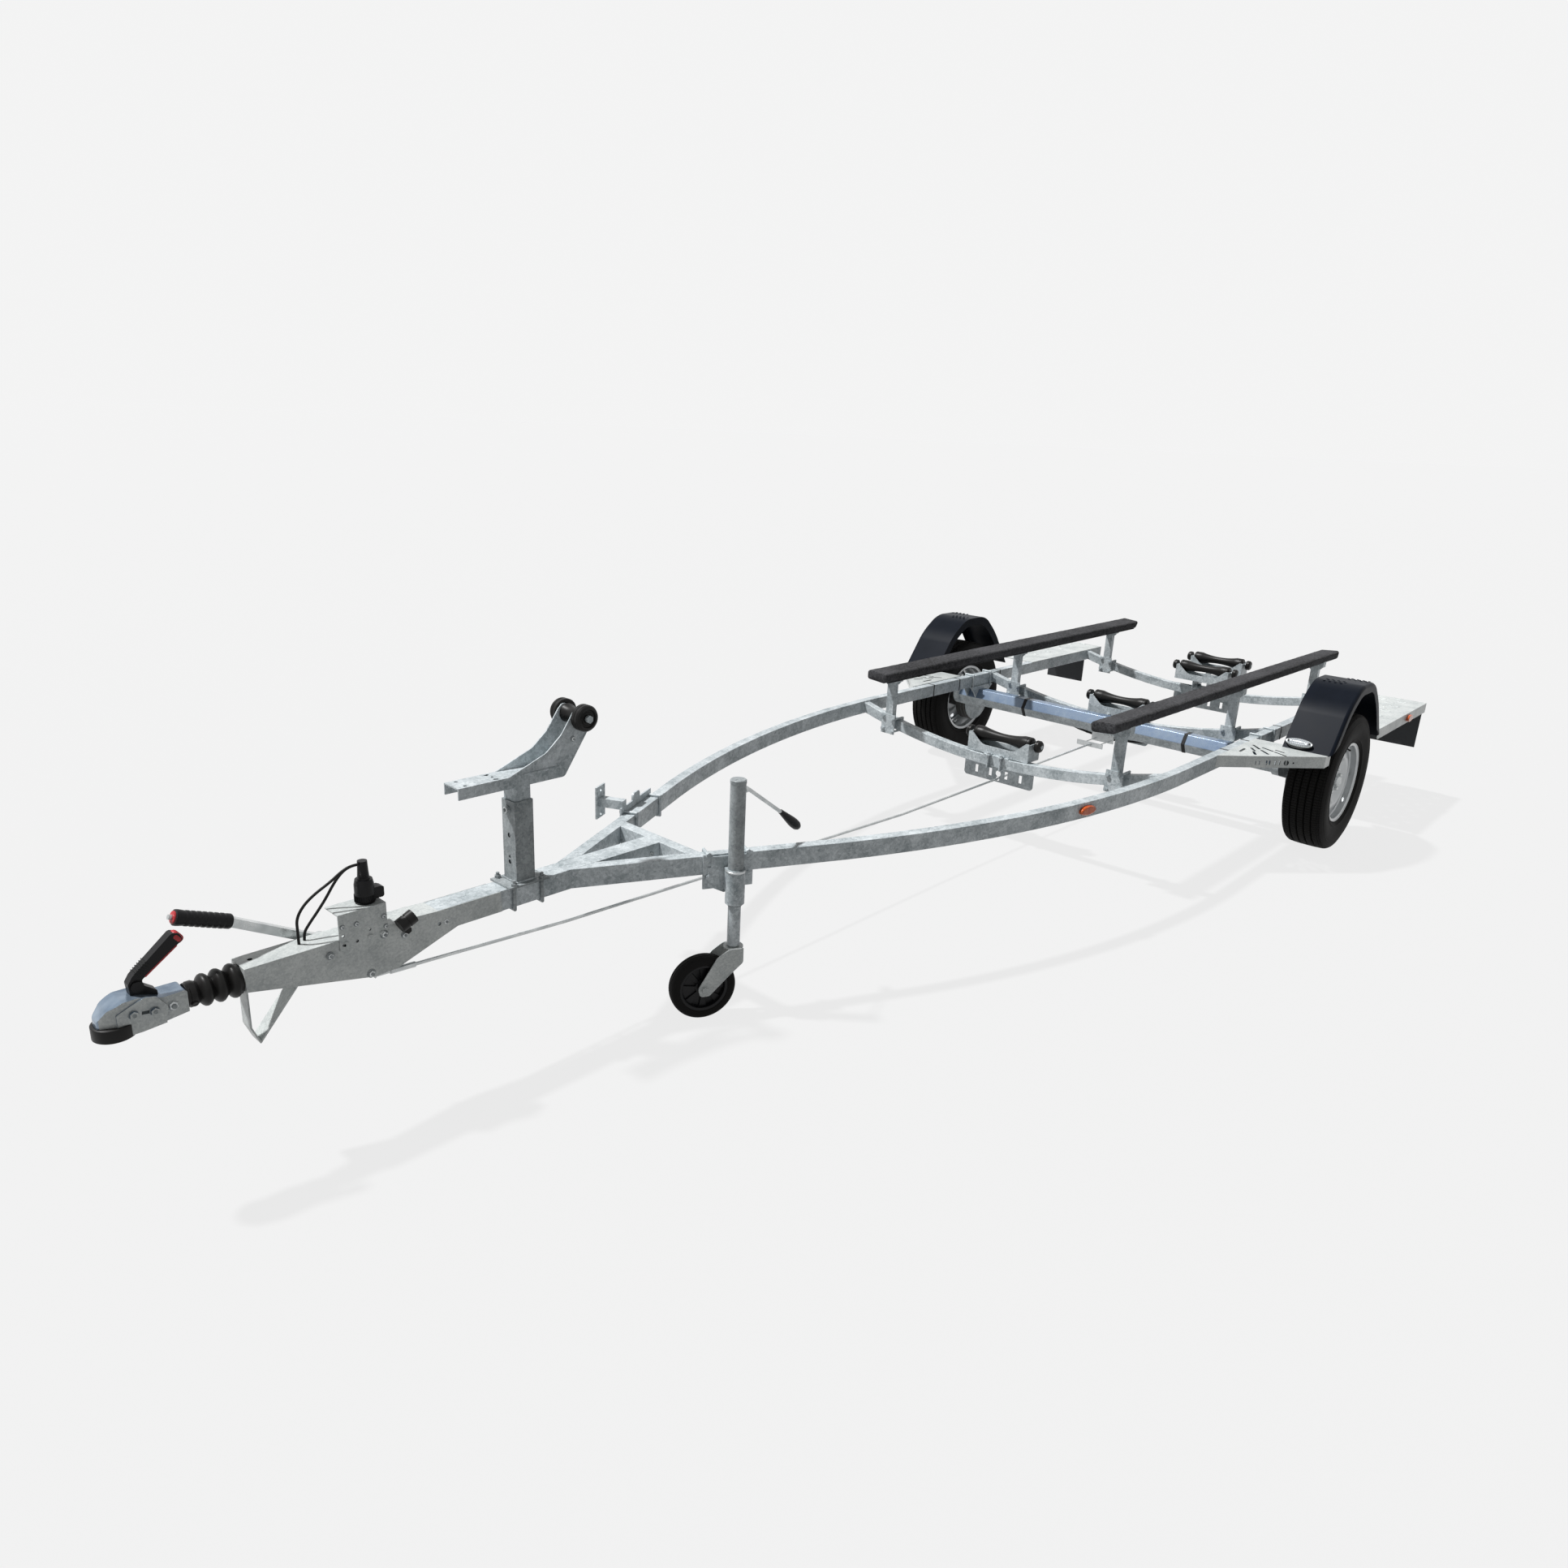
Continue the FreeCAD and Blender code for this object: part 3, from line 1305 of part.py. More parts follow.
def make_bow_arm():
    """Channel on the mast with two curved cheeks that rise to the bow roller."""
    half = arm_channel_width / 2
    bottom = arm_top - arm_channel_depth
    top = box(arm_rear, arm_channel_front, -half, half, arm_top - sheet, arm_top)
    sides = [box(arm_rear, arm_channel_front, y, y + sheet, bottom, arm_top)
             for y in (-half, half - sheet)]
    web = box(post_station - post_outer / 2, post_station + post_outer / 2,
              -half + sheet, half - sheet, mast_top, arm_top - sheet)
    eye = bow_cheek_radius
    line = [
        (arm_rear - arm_channel_depth / 2, bottom), (cheek_heel_front, bottom), (cheek_heel_front, arm_top),
        (cheek_belly_x, cheek_belly_z), (cheek_throat_x, cheek_throat_z),
        (bow_axis_x + eye, bow_axis_z + eye / 2), (bow_axis_x + eye / 2, bow_axis_z + eye),
        (bow_axis_x - eye, bow_axis_z + eye / 2), (bow_axis_x - eye, bow_axis_z - eye),
    ]
    radii = [eye / 2, 0, 0, eye * 2, eye * 2, eye / 3, eye / 2, eye / 2, eye / 2]
    pieces = [top, web] + sides
    for y in (-half, half - sheet):
        pieces.append(side_plate(line, y, y + sheet, radii))
    reach = half + bow_run_gap / 5 + bow_disc_width
    pin = rod(Vec(bow_axis_x, -reach, bow_axis_z), Vec(bow_axis_x, reach, bow_axis_z), bow_pin_radius)
    heads = [hex_nut(Vec(bow_axis_x, reach, bow_axis_z), Y_AXIS, nut_radius * 1.2),
             hex_nut(Vec(bow_axis_x, -reach, bow_axis_z), Vec(0, -1, 0), nut_radius * 1.2)]
    strap = box(arm_rear - eye / 2, arm_rear - eye / 2 + sheet, -half + sheet, half - sheet,
                arm_top + eye / 2, arm_top + eye * 1.5)
    arm = fuse(pieces + [pin, strap] + heads)
    for side_x in (-1, 1):
        for side_y in (-1, 1):
            x = winch_station + side_x * winch_pitch_x / 2
            y = side_y * winch_pitch_y / 2
            arm = arm.cut(rod(Vec(x, y, arm_top - sheet - overrun), Vec(x, y, arm_top + overrun),
                              winch_hole_radius))
    return arm


def make_bow_roller():
    """Rubber spool between the cheeks and a disc outside each cheek."""
    half = arm_channel_width / 2
    gap = bow_run_gap / 5
    bore = bow_pin_radius + run_gap
    centre = Vec(bow_axis_x, 0, bow_axis_z)
    inside = half - sheet - gap
    spool = revolve([
        (bore, -inside), (bow_spool_radius, -inside), (bow_spool_radius - plate, 0),
        (bow_spool_radius, inside), (bore, inside),
    ], centre, Y_AXIS)
    outside = half + gap
    far = outside + bow_disc_width - gap
    disc = revolve([
        (bore, outside), (bow_disc_radius, outside), (bow_disc_radius, far - plate),
        (bow_disc_radius - plate, far), (bore, far),
    ], centre, Y_AXIS)
    return Part.makeCompound([spool, disc, mirrored(disc)])


# Keel rollers and their cradles
def cradle_ends():
    """Half the length between the outer faces of a cradle's end plates."""
    return keel_roller_length / 2 + keel_side_gap + sheet


def cradle_box(axis_x, axis_z, floor):
    """End plates, hollowed cheeks, floor and pin round one keel roller."""
    end = cradle_ends()
    low = axis_z - keel_roller_radius - sheet
    top = axis_z + keel_pin_radius + sheet
    shoulder = end - keel_roller_radius / 2
    waist = end - keel_roller_radius * 2.2
    line = [(-end, floor), (end, floor), (end, top), (shoulder, top), (waist, low), (-waist, low),
            (-shoulder, top), (-end, top)]
    radii = [0, 0, sheet, sheet, keel_roller_radius * 1.6, keel_roller_radius * 1.6, sheet, sheet]
    front = axis_x + cradle_half_depth
    rear = axis_x - cradle_half_depth
    pieces = [cross_plate(line, front - sheet, front, radii), cross_plate(line, rear, rear + sheet, radii),
              box(rear, front, -end, end, floor, floor + sheet)]
    for y in (-end, end - sheet):
        pieces.append(box(rear, front, y, y + sheet, floor, top - sheet))
    tip = end + keel_bell_gap + keel_bell_width + overrun / 2
    pieces.append(rod(Vec(axis_x, -tip, axis_z), Vec(axis_x, tip, axis_z), keel_pin_radius))
    pieces.append(hex_nut(Vec(axis_x, tip, axis_z), Y_AXIS))
    pieces.append(hex_nut(Vec(axis_x, -tip, axis_z), Vec(0, -1, 0)))
    return pieces


def cradle_clamp(face, floor):
    """Foot on the arc's top, two U-bolts round the arc and the ears they pass through."""
    rear = face - arc_width
    reach = bolt_radius + overrun
    ear = reach + washer_radius
    foot = box(rear, face, -slot_bolt_y * 2, slot_bolt_y * 2, arc_mid_top - overrun, floor)
    pieces = [foot.cut(arc_strip(face, 0))]
    for side in (-1, 1):
        y = side * slot_bolt_y
        pieces.append(box(rear - ear, face + ear, y - washer_radius, y + washer_radius, floor, floor + sheet))
        low = arc_z(y, arc_depth) - reach
        pieces.append(u_bolt(Vec(rear - reach, y, low), Vec(face + reach, y, low),
                             Vec(0, 0, floor + sheet - low), bolt_radius, nut_height + overrun))
    return pieces


def slot_plate(face, floor):
    """Slotted plate behind the arc, below the cradle."""
    half = slot_plate_half
    low = arc_mid_top - arc_depth - slot_plate_drop
    x1 = face - arc_width
    corner = keel_roller_radius / 2
    line = [(-half, low), (half, low), (half, floor), (-half, floor)]
    board = cross_plate(line, x1 - sheet, x1, [corner, corner, 0, 0])
    z = low + slot_plate_drop / 2
    slots = []
    for share in slot_shares:
        y = share * half
        slots.append(box(x1 - sheet - overrun, x1 + overrun, y - slot_half_width, y + slot_half_width,
                         z - slot_half_height, z + slot_half_height))
    slots.append(rod(Vec(x1 - sheet - overrun, 0, z), Vec(x1 + overrun, 0, z), slot_round_radius))
    for slot in slots:
        board = board.cut(slot)
    reach = bolt_radius + overrun
    for side in (-1, 1):
        gap = box(x1 - sheet - overrun, x1 + overrun, side * slot_bolt_y - reach, side * slot_bolt_y + reach,
                  arc_mid_top - arc_depth - reach * 2, floor + sheet)
        board = board.cut(gap)
    return board


def make_single_cradle(face, shift=0, rise=0):
    """Cradle of the front or middle keel roller."""
    floor = arc_z(cradle_ends(), 0) + overrun / 2
    axis_x = face - keel_behind_face + shift
    pieces = cradle_box(axis_x, keel_axis_height + rise, floor) + cradle_clamp(face, floor)
    return fuse(pieces + [slot_plate(face, floor)])


def make_double_cradle():
    """Rocker at the rear arc with two keel rollers in a row."""
    face = rear_arc_face
    floor = arc_z(cradle_ends(), 0) + overrun / 2
    front_x = rear_arc_face - cradle_first_back
    rear_x = front_x - cradle_rear_pitch
    rise = keel_rear_axis_height - keel_axis_height
    first = cradle_box(front_x, keel_rear_axis_height, floor + rise)
    second = cradle_box(rear_x, keel_rear_axis_height + cradle_rear_rise, floor + rise + cradle_rear_rise)
    half = arc_width
    beam_line = [
        (front_x + cradle_half_depth, floor), (front_x + cradle_half_depth, floor + rise + sheet),
        (front_x - cradle_half_depth, floor + rise + sheet),
        (rear_x + cradle_half_depth, floor + rise + cradle_rear_rise + sheet),
        (rear_x - cradle_half_depth, floor + rise + cradle_rear_rise + sheet),
        (rear_x - cradle_half_depth, floor + rise + cradle_rear_rise - washer_radius),
        (front_x - cradle_half_depth, floor),
    ]
    beams = [side_plate(beam_line, y, y + sheet) for y in (-half - sheet, half)]
    pin_x = face - arc_width / 2
    seat = box(pin_x - half, pin_x + half, -half, half, floor, floor + sheet)
    return fuse(first + second + beams + cradle_clamp(face, floor) + [seat, slot_plate(face, floor)])


def make_keel_roller(axis_x, axis_z):
    """Rubber roller with thick ends and a waist."""
    half = keel_roller_length / 2
    bore = keel_pin_radius + run_gap
    edge = keel_roller_radius / 6
    shoulder = half * roller_shoulder_share

    def at(radius, y):
        return Vec(axis_x, y, axis_z + radius)

    line = [at(bore, -half), at(keel_roller_radius - edge, -half), at(keel_roller_radius, -half + edge),
            at(keel_roller_radius, -shoulder)]
    edges = [Part.LineSegment(a, b).toShape() for a, b in zip(line, line[1:])]
    edges.append(Part.Arc(line[-1], at(keel_waist_radius, 0), at(keel_roller_radius, shoulder)).toShape())
    back = [at(keel_roller_radius, shoulder), at(keel_roller_radius, half - edge),
            at(keel_roller_radius - edge, half), at(bore, half), at(bore, -half)]
    edges += [Part.LineSegment(a, b).toShape() for a, b in zip(back, back[1:])]
    centre = Vec(axis_x, 0, axis_z)
    spool = Part.Face(Part.Wire(edges)).revolve(centre, Y_AXIS, 360)
    near = cradle_ends() + keel_bell_gap
    far = near + keel_bell_width
    bell = revolve([
        (bore, near), (keel_bell_radius, near), (keel_bell_radius, far - edge * 2),
        (keel_bell_radius - edge * 2, far), (bore, far),
    ], centre, Y_AXIS)
    return Part.makeCompound([spool, bell, mirrored(bell)])


# Bunks and their posts
def bunk_line_y(station):
    """Y of the left bunk's centre line, which runs outwards to the rear."""
    middle = (bunk_front + bunk_rear) / 2
    return bunk_y + (middle - station) * math.tan(math.radians(bunk_splay))


def make_bunk():
    """The left carpeted bunk, tilted towards the keel, its lower ends cut off."""
    half = bunk_width / 2
    middle = bunk_bottom + bunk_height / 2
    corners = []
    for v, w in ((-half, -bunk_height / 2), (half, -bunk_height / 2),
                 (half, bunk_height / 2), (-half, bunk_height / 2)):
        lean = math.radians(bunk_tilt)
        corners.append((bunk_y + v * math.cos(lean) - w * math.sin(lean),
                        middle + v * math.sin(lean) + w * math.cos(lean)))
    corner = bunk_height / 4
    body = cross_plate(corners, bunk_rear, bunk_front, [corner] * 4)
    low = bunk_bottom - bunk_width
    high = bunk_bottom + bunk_width
    for end, way in ((bunk_rear, 1), (bunk_front, -1)):
        wedge = [(end, middle), (end + way * bunk_nose, bunk_bottom), (end + way * bunk_nose, low), (end, low)]
        body = body.cut(side_plate(wedge, 0, high))
    body.rotate(Vec((bunk_front + bunk_rear) / 2, bunk_y, 0), Z_AXIS, -bunk_splay)
    return body


def make_bunk_post(face, bunk):
    """The left post before an arc: tube, head, clamp plate and two U-bolts."""
    x0 = face
    x1 = face + post_depth
    y = bunk_line_y(face) + post_outward
    half = post_width / 2
    foot = arc_z(y, arc_depth)
    head_low = bunk_bottom - post_head_height / 2
    tube = box(x0, x1, y - half, y + half, foot, head_low + plate)
    inner = half - tube_wall
    tube = tube.cut(box(x0 + tube_wall, x1 - tube_wall, y - inner, y + inner, foot, head_low))
    head_half = post_head_width / 2
    head_line = [(y - half, head_low - post_head_height / 2), (y + half, head_low - post_head_height / 2),
                 (y + head_half, head_low + plate), (y + head_half, bunk_bottom + bunk_height / 2),
                 (y - head_half, bunk_bottom + bunk_height / 2), (y - head_half, head_low + plate)]
    head = cross_plate(head_line, x0 - plate, x0).fuse(cross_plate(head_line, x1, x1 + plate))
    shelf = box(x0 - plate, x1 + plate, y - head_half, y + head_half, head_low, bunk_bottom + plate * 2)
    head = head.fuse(shelf).cut(bunk)
    head = head.common(box(x0 - plate, x1 + plate, y - head_half, y + head_half,
                           foot, bunk_bottom + plate * 2))
    head = max(head.Solids, key=lambda s: s.Volume)
    reach = bolt_radius + overrun
    spread = half + reach
    pieces = [tube, head]
    top = arc_z(y + spread, 0) + reach
    low = arc_z(y - spread, arc_depth) - reach
    tab = washer_radius
    back = face - arc_width - reach
    pieces.append(box(x1, x1 + sheet, y - spread - tab, y + spread + tab, low - tab, top + tab))
    for side in (-1, 1):
        leg_y = y + side * spread
        upper = arc_z(leg_y, 0) + reach
        lower = arc_z(leg_y, arc_depth) - reach
        pieces.append(u_bolt(Vec(back, leg_y, upper), Vec(back, leg_y, lower), Vec(x1 + sheet - back, 0, 0),
                             bolt_radius, nut_height + overrun))
    return fuse(pieces)


# Frames of reference on the straight front stretch of the rails
def on_left_rail(shape, station, offset, turn=0):
    """Moves a piece made with X forward and Y outward onto the left rail's line."""
    placed = shape.copy()
    placed.rotate(Vec(0, 0, 0), Z_AXIS, turn - rail_angle)
    placed.translate(Vec(station, rail_y(station, half_rail + offset), 0))
    return placed


def rail_clamp(half_length, bolt_station, thickness, low, high):
    """Plate on the rail's outer face, which lies at Y zero, with two U-bolts round the rail."""
    reach = bolt_radius + seat_gap
    pieces = [box(-half_length, half_length, 0, thickness, low, high)]
    for side in (-1, 1):
        x = side * bolt_station
        back = -rail_width - reach
        pieces.append(u_bolt(Vec(x, back, frame_top + reach), Vec(x, back, frame_bottom - reach),
                             Vec(0, thickness - back, 0), bolt_radius, nut_height + overrun))
    return pieces


# Spare wheel carrier on the right rail
def make_spare_arm():
    """Long clamp plate with a tab in its middle and the arm with its stud plate at its front."""
    reach = washer_radius * 2
    half_length = spare_bolt_spread + spare_plate_margin
    pieces = rail_clamp(half_length, spare_bolt_spread, plate, frame_bottom - reach, frame_top + reach)
    half = spare_arm_size / 2
    middle = frame_top + spare_arm_size
    end = spare_arm_length
    arm_x = spare_bolt_spread
    stud_half = spare_plate_width / 2
    pieces.append(box(arm_x - half, arm_x + half, plate, end, middle - half, middle + half))
    pieces.append(box(arm_x - half, arm_x + half, 0, plate, frame_top, middle + half))
    tab = cross_plate([(0, frame_top), (plate, frame_top), (plate, frame_top + spare_tab_height),
                       (0, frame_top + spare_tab_height)], -spare_tab_half, spare_tab_half)
    pieces.append(tab.makeFillet(spare_tab_half / 2, [e for e in tab.Edges if e.BoundBox.ZMin > frame_top
                                                       and e.BoundBox.YLength > overrun
                                                       and e.BoundBox.XLength < overrun]))
    low = middle - spare_plate_height / 2
    board = box(arm_x - stud_half, arm_x + stud_half, end, end + plate, low, low + spare_plate_height)
    pieces.append(board)
    arm = fuse(pieces)
    for side in (-1, 1):
        z = middle + side * spare_stud_pitch / 2
        arm = arm.cut(rod(Vec(arm_x, end - overrun, z), Vec(arm_x, end + plate + overrun, z), bolt_radius + overrun))
    centre_station = spare_station - spare_bolt_spread * math.cos(math.radians(rail_angle))
    return mirrored(on_left_rail(arm, centre_station, 0))


# Jockey wheel on the left rail
def make_jockey_clamp():
    """Clamp plate on the rail, its cover and gusset and the sleeve that holds the outer tube."""
    face = -jockey_off_face
    bolts = clamp_plate_half - washer_radius * 1.5
    pieces = rail_clamp(clamp_plate_half, bolts, plate, clamp_plate_bottom, clamp_plate_top)
    pieces = [p.translated(Vec(clamp_ahead, face, 0)) for p in pieces]
    sleeve = rod(Vec(0, 0, clamp_sleeve_bottom), Vec(0, 0, clamp_sleeve_top), clamp_sleeve_radius)
    cheek = box(-clamp_sleeve_radius, clamp_sleeve_radius, face + plate, 0, clamp_plate_bottom, clamp_sleeve_top)
    collar = box(clamp_ahead - clamp_cover_half, clamp_ahead + clamp_cover_half, face + plate, face + plate * 2,
                 clamp_plate_bottom + plate, clamp_plate_top - plate)
    gusset_line = [(0, clamp_gusset_bottom), (clamp_sleeve_radius, clamp_gusset_bottom),
                   (clamp_plate_half, clamp_plate_bottom + plate * 2), (clamp_plate_half, clamp_sleeve_top),
                   (0, clamp_sleeve_top)]
    gusset = side_plate(gusset_line, face + plate, face + plate * 2)
    body = fuse(pieces + [sleeve, cheek, collar, gusset])
    bore = rod(Vec(0, 0, clamp_sleeve_bottom - overrun), Vec(0, 0, jockey_tube_top),
               jockey_tube_radius + seat_gap / 3)
    return on_left_rail(body.cut(bore), jockey_station, jockey_off_face)


def make_jockey_tube():
    """Outer tube with its cap."""
    bore = jockey_leg_radius + tube_gap
    body = revolve([
        (bore, jockey_tube_bottom), (jockey_tube_radius, jockey_tube_bottom),
        (jockey_tube_radius, jockey_tube_top - overrun), (jockey_tube_radius - overrun, jockey_tube_top),
        (0, jockey_tube_top), (0, jockey_tube_top - plate), (bore, jockey_tube_top - plate),
    ], Vec(0, 0, 0), Z_AXIS)
    return on_left_rail(body, jockey_station, jockey_off_face)


def make_crank():
    """Crank that reaches back and down from the tube's top, with its pear grip."""
    y = rail_y(jockey_station, half_rail + jockey_off_face)
    root = Vec(jockey_station - jockey_tube_radius + overrun / 2, y, crank_height)
    elbow = Vec(jockey_station - crank_elbow, y, crank_height - overrun)
    wrist = Vec(crank_wrist_x, y, crank_wrist_z)
    run = Vec(crank_grip_x - wrist.x, 0, crank_grip_z - wrist.z)
    length = run.Length
    along = run.normalize()
    collar = rod(root.sub(Vec(overrun, 0, 0)), root.sub(Vec(crank_elbow / 3, 0, 0)), crank_radius * collar_share)
    grip = revolve([(0, 0), (crank_grip_radius / 2, 0), (crank_grip_radius, length * grip_swell_share),
                    (crank_grip_radius, length * grip_end_share), (crank_grip_radius / 2, length), (0, length)],
                   Vec(0, 0, 0), Z_AXIS)
    grip.Placement = FreeCAD.Placement(wrist, FreeCAD.Rotation(Z_AXIS, along))
    pieces = [collar, rod(root, elbow, crank_radius), Part.makeSphere(crank_radius, elbow),
              rod(elbow, wrist.add(Vec(along).multiply(plate)), crank_radius), grip]
    return fuse(pieces).cut(make_jockey_tube_core())


def make_jockey_tube_core():
    """The round space that the outer tube fills."""
    core = rod(Vec(0, 0, jockey_tube_bottom), Vec(0, 0, jockey_tube_top), jockey_tube_radius)
    return on_left_rail(core, jockey_station, jockey_off_face)


def make_jockey_leg():
    """Inner leg with the bore for the fork's pin."""
    pin_bore = jockey_pin_radius + run_gap
    body = revolve([
        (pin_bore, jockey_leg_bottom), (jockey_leg_radius, jockey_leg_bottom),
        (jockey_leg_radius, jockey_leg_top), (0, jockey_leg_top),
        (0, jockey_leg_bottom + jockey_pin_length), (pin_bore, jockey_leg_bottom + jockey_pin_length),
    ], Vec(0, 0, 0), Z_AXIS)
    return on_left_rail(body, jockey_station, jockey_off_face)


def make_jockey_fork():
    """Two arms, crown, swivel pin and wheel axle; the wheel trails along X."""
    reach = jockey_leg_radius + sheet
    line = [
        (-reach, fork_top), (reach, fork_top), (jockey_trail * 0.62, fork_top - reach),
        (jockey_trail + reach * 0.9, jockey_wheel_radius + sheet),
        (jockey_trail + reach * 0.6, jockey_wheel_radius - reach),
        (jockey_trail - reach * 0.6, jockey_wheel_radius - reach),
        (reach * 0.8, jockey_wheel_radius + reach * 1.6), (-reach, fork_top - reach * 2),
    ]
    radii = [0, reach, reach, reach * 0.9, reach * 0.5, reach * 0.6, reach, reach / 2]
    pieces = []
    for y in (-fork_half_gap - fork_sheet, fork_half_gap):
        pieces.append(side_plate(line, y, y + fork_sheet, radii))
    crown = rod(Vec(0, 0, fork_top - fork_sheet), Vec(0, 0, fork_top), fork_half_gap + fork_sheet)
    pieces.append(crown)
    pieces.append(rod(Vec(0, 0, fork_top - overrun), Vec(0, 0, jockey_leg_bottom + jockey_pin_length - plate),
                      jockey_pin_radius))
    tip = fork_half_gap + fork_sheet + overrun
    axle = rod(Vec(jockey_trail, -tip, jockey_wheel_radius), Vec(jockey_trail, tip, jockey_wheel_radius),
               jockey_axle_radius)
    pieces.append(axle)
    for side in (-1, 1):
        pieces.append(hex_nut(Vec(jockey_trail, side * (tip - overrun), jockey_wheel_radius),
                              Vec(0, side, 0), nut_radius * 1.2))
    return on_left_rail(fuse(pieces), jockey_station, jockey_off_face, jockey_turn + rail_angle)


def make_jockey_wheel():
    """Rubber wheel with a dished centre and hub."""
    half = jockey_wheel_width / 2
    web = jockey_wheel_width / 6
    hub = jockey_axle_radius * 2
    bore = jockey_axle_radius + run_gap
    rim = jockey_wheel_radius * 0.68
    edge = jockey_wheel_radius * 0.1
    profile = [(bore, -half), (hub, -half), (hub, -web), (rim, -web), (rim, -half + overrun),
               (jockey_wheel_radius - edge, -half), (jockey_wheel_radius - overrun, -half + edge),
               (jockey_wheel_radius, 0)]
    line = profile + [(r, -y) for r, y in reversed(profile[:-1])]
    wheel = revolve(line, Vec(jockey_trail, 0, jockey_wheel_radius), Y_AXIS)
    return on_left_rail(wheel, jockey_station, jockey_off_face, jockey_turn + rail_angle)


def collect():
    """Every node's shape by name."""
    rail = make_rail()
    housing = make_housing()
    bunk = make_bunk()
    front_marker, rear_marker = make_side_markers()
    rim = make_rim()
    tyre = make_tyre()
    cable = make_brake_cable()
    rod_way = rod(Vec(rod_low_x, 0, rod_low_z), Vec(rod_rear_x, 0, rod_rear_z), rod_radius * 2)
    posts = [make_bunk_post(face, bunk) for face in (front_arc_face, middle_arc_face, rear_arc_face)]
    rear_first = rear_arc_face - cradle_first_back
    rear_height = keel_rear_axis_height
    return {
        "drawbar": make_drawbar(),
        "side_rail_left": rail,
        "side_rail_right": mirrored(rail),
        "cross_brace": make_cross_brace(),
        "front_arc": make_arc(front_arc_face),
        "middle_arc": make_arc(middle_arc_face),
        "rear_arc": make_arc(rear_arc_face),
        "overrun_housing": housing,
        "coupling_head": make_coupling_head(),
        "coupling_lever": make_coupling_lever(),
        "nose_boot": make_nose_boot(),
        "bellows": make_bellows(),
        "handbrake_lever": make_handbrake_lever(),
        "parking_strap": make_strap_stand(housing),
        "plug_holder": make_plug_holder(),
        "plug": make_plug(),
        "plug_lead": make_plug_lead(),
        "second_lead": make_second_lead(),
        "rubber_buffer": make_buffer(),
        "brake_rod": make_brake_rod(),
        "brake_equaliser": make_equaliser(),
        "brake_cables": pair(cable),
        "axle_beam": make_axle(),
        "axle_saddles": make_saddles(),
        "swing_arms": pair(make_swing_arm()),
        "mudguards": pair(make_mudguard()),
        "front_steps": pair(make_front_step()),
        "rear_steps": pair(make_rear_step()),
        "lamp_boards": pair(make_lamp_board()),
        "tail_lamps": pair(make_tail_lamp()),
        "front_lamps": pair(make_front_lamp()),
        "side_markers": Part.makeCompound([front_marker, rear_marker, mirrored(front_marker),
                                           mirrored(rear_marker)]),
        "winch_post": make_winch_post(),
        "mast": make_mast(),
        "bow_arm": make_bow_arm(),
        "bow_roller": make_bow_roller(),
        "front_cradle": make_single_cradle(front_arc_face).cut(rod_way),
        "middle_cradle": make_single_cradle(middle_arc_face, middle_roller_shift, middle_roller_rise),
        "rear_cradle": make_double_cradle(),
        "keel_roller_front": make_keel_roller(front_arc_face - keel_behind_face, keel_axis_height),
        "keel_roller_middle": make_keel_roller(middle_arc_face - keel_behind_face + middle_roller_shift,
                                               keel_axis_height + middle_roller_rise),
        "keel_roller_rear": make_keel_roller(rear_first, rear_height),
        "keel_roller_last": make_keel_roller(rear_first - cradle_rear_pitch, rear_height + cradle_rear_rise),
        "bunk_left": bunk,
        "bunk_right": mirrored(bunk),
        "bunk_posts": Part.makeCompound(posts + [mirrored(post) for post in posts]),
        "spare_wheel_arm": make_spare_arm(),
        "jockey_clamp": make_jockey_clamp(),
        "jockey_tube": make_jockey_tube(),
        "jockey_crank": make_crank(),
        "jockey_leg": make_jockey_leg(),
        "jockey_fork": make_jockey_fork(),
        "jockey_wheel": make_jockey_wheel(),
        "wheel_left": rim,
        "wheel_right": mirrored(rim),
        "tyre_left": tyre,
        "tyre_right": mirrored(tyre),
    }


os.makedirs("parts", exist_ok=True)
rear_end = rear_arc_face - cradle_first_back - cradle_rear_pitch - cradle_half_depth
mid_length = (front_end + rear_end) / 2
for name, shape in collect().items():
    moved = shape.copy()
    moved.translate(Vec(-mid_length, 0, 0))
    if not moved.isValid():
        print("not valid:", name)
    moved.exportStep("parts/" + name + ".step")
    bounds = moved.BoundBox
    print(name, len(moved.Solids), round(moved.Volume / 1000), "cm3",
          [round(v) for v in (bounds.XMin, bounds.XMax, bounds.YMin, bounds.YMax, bounds.ZMin, bounds.ZMax)])
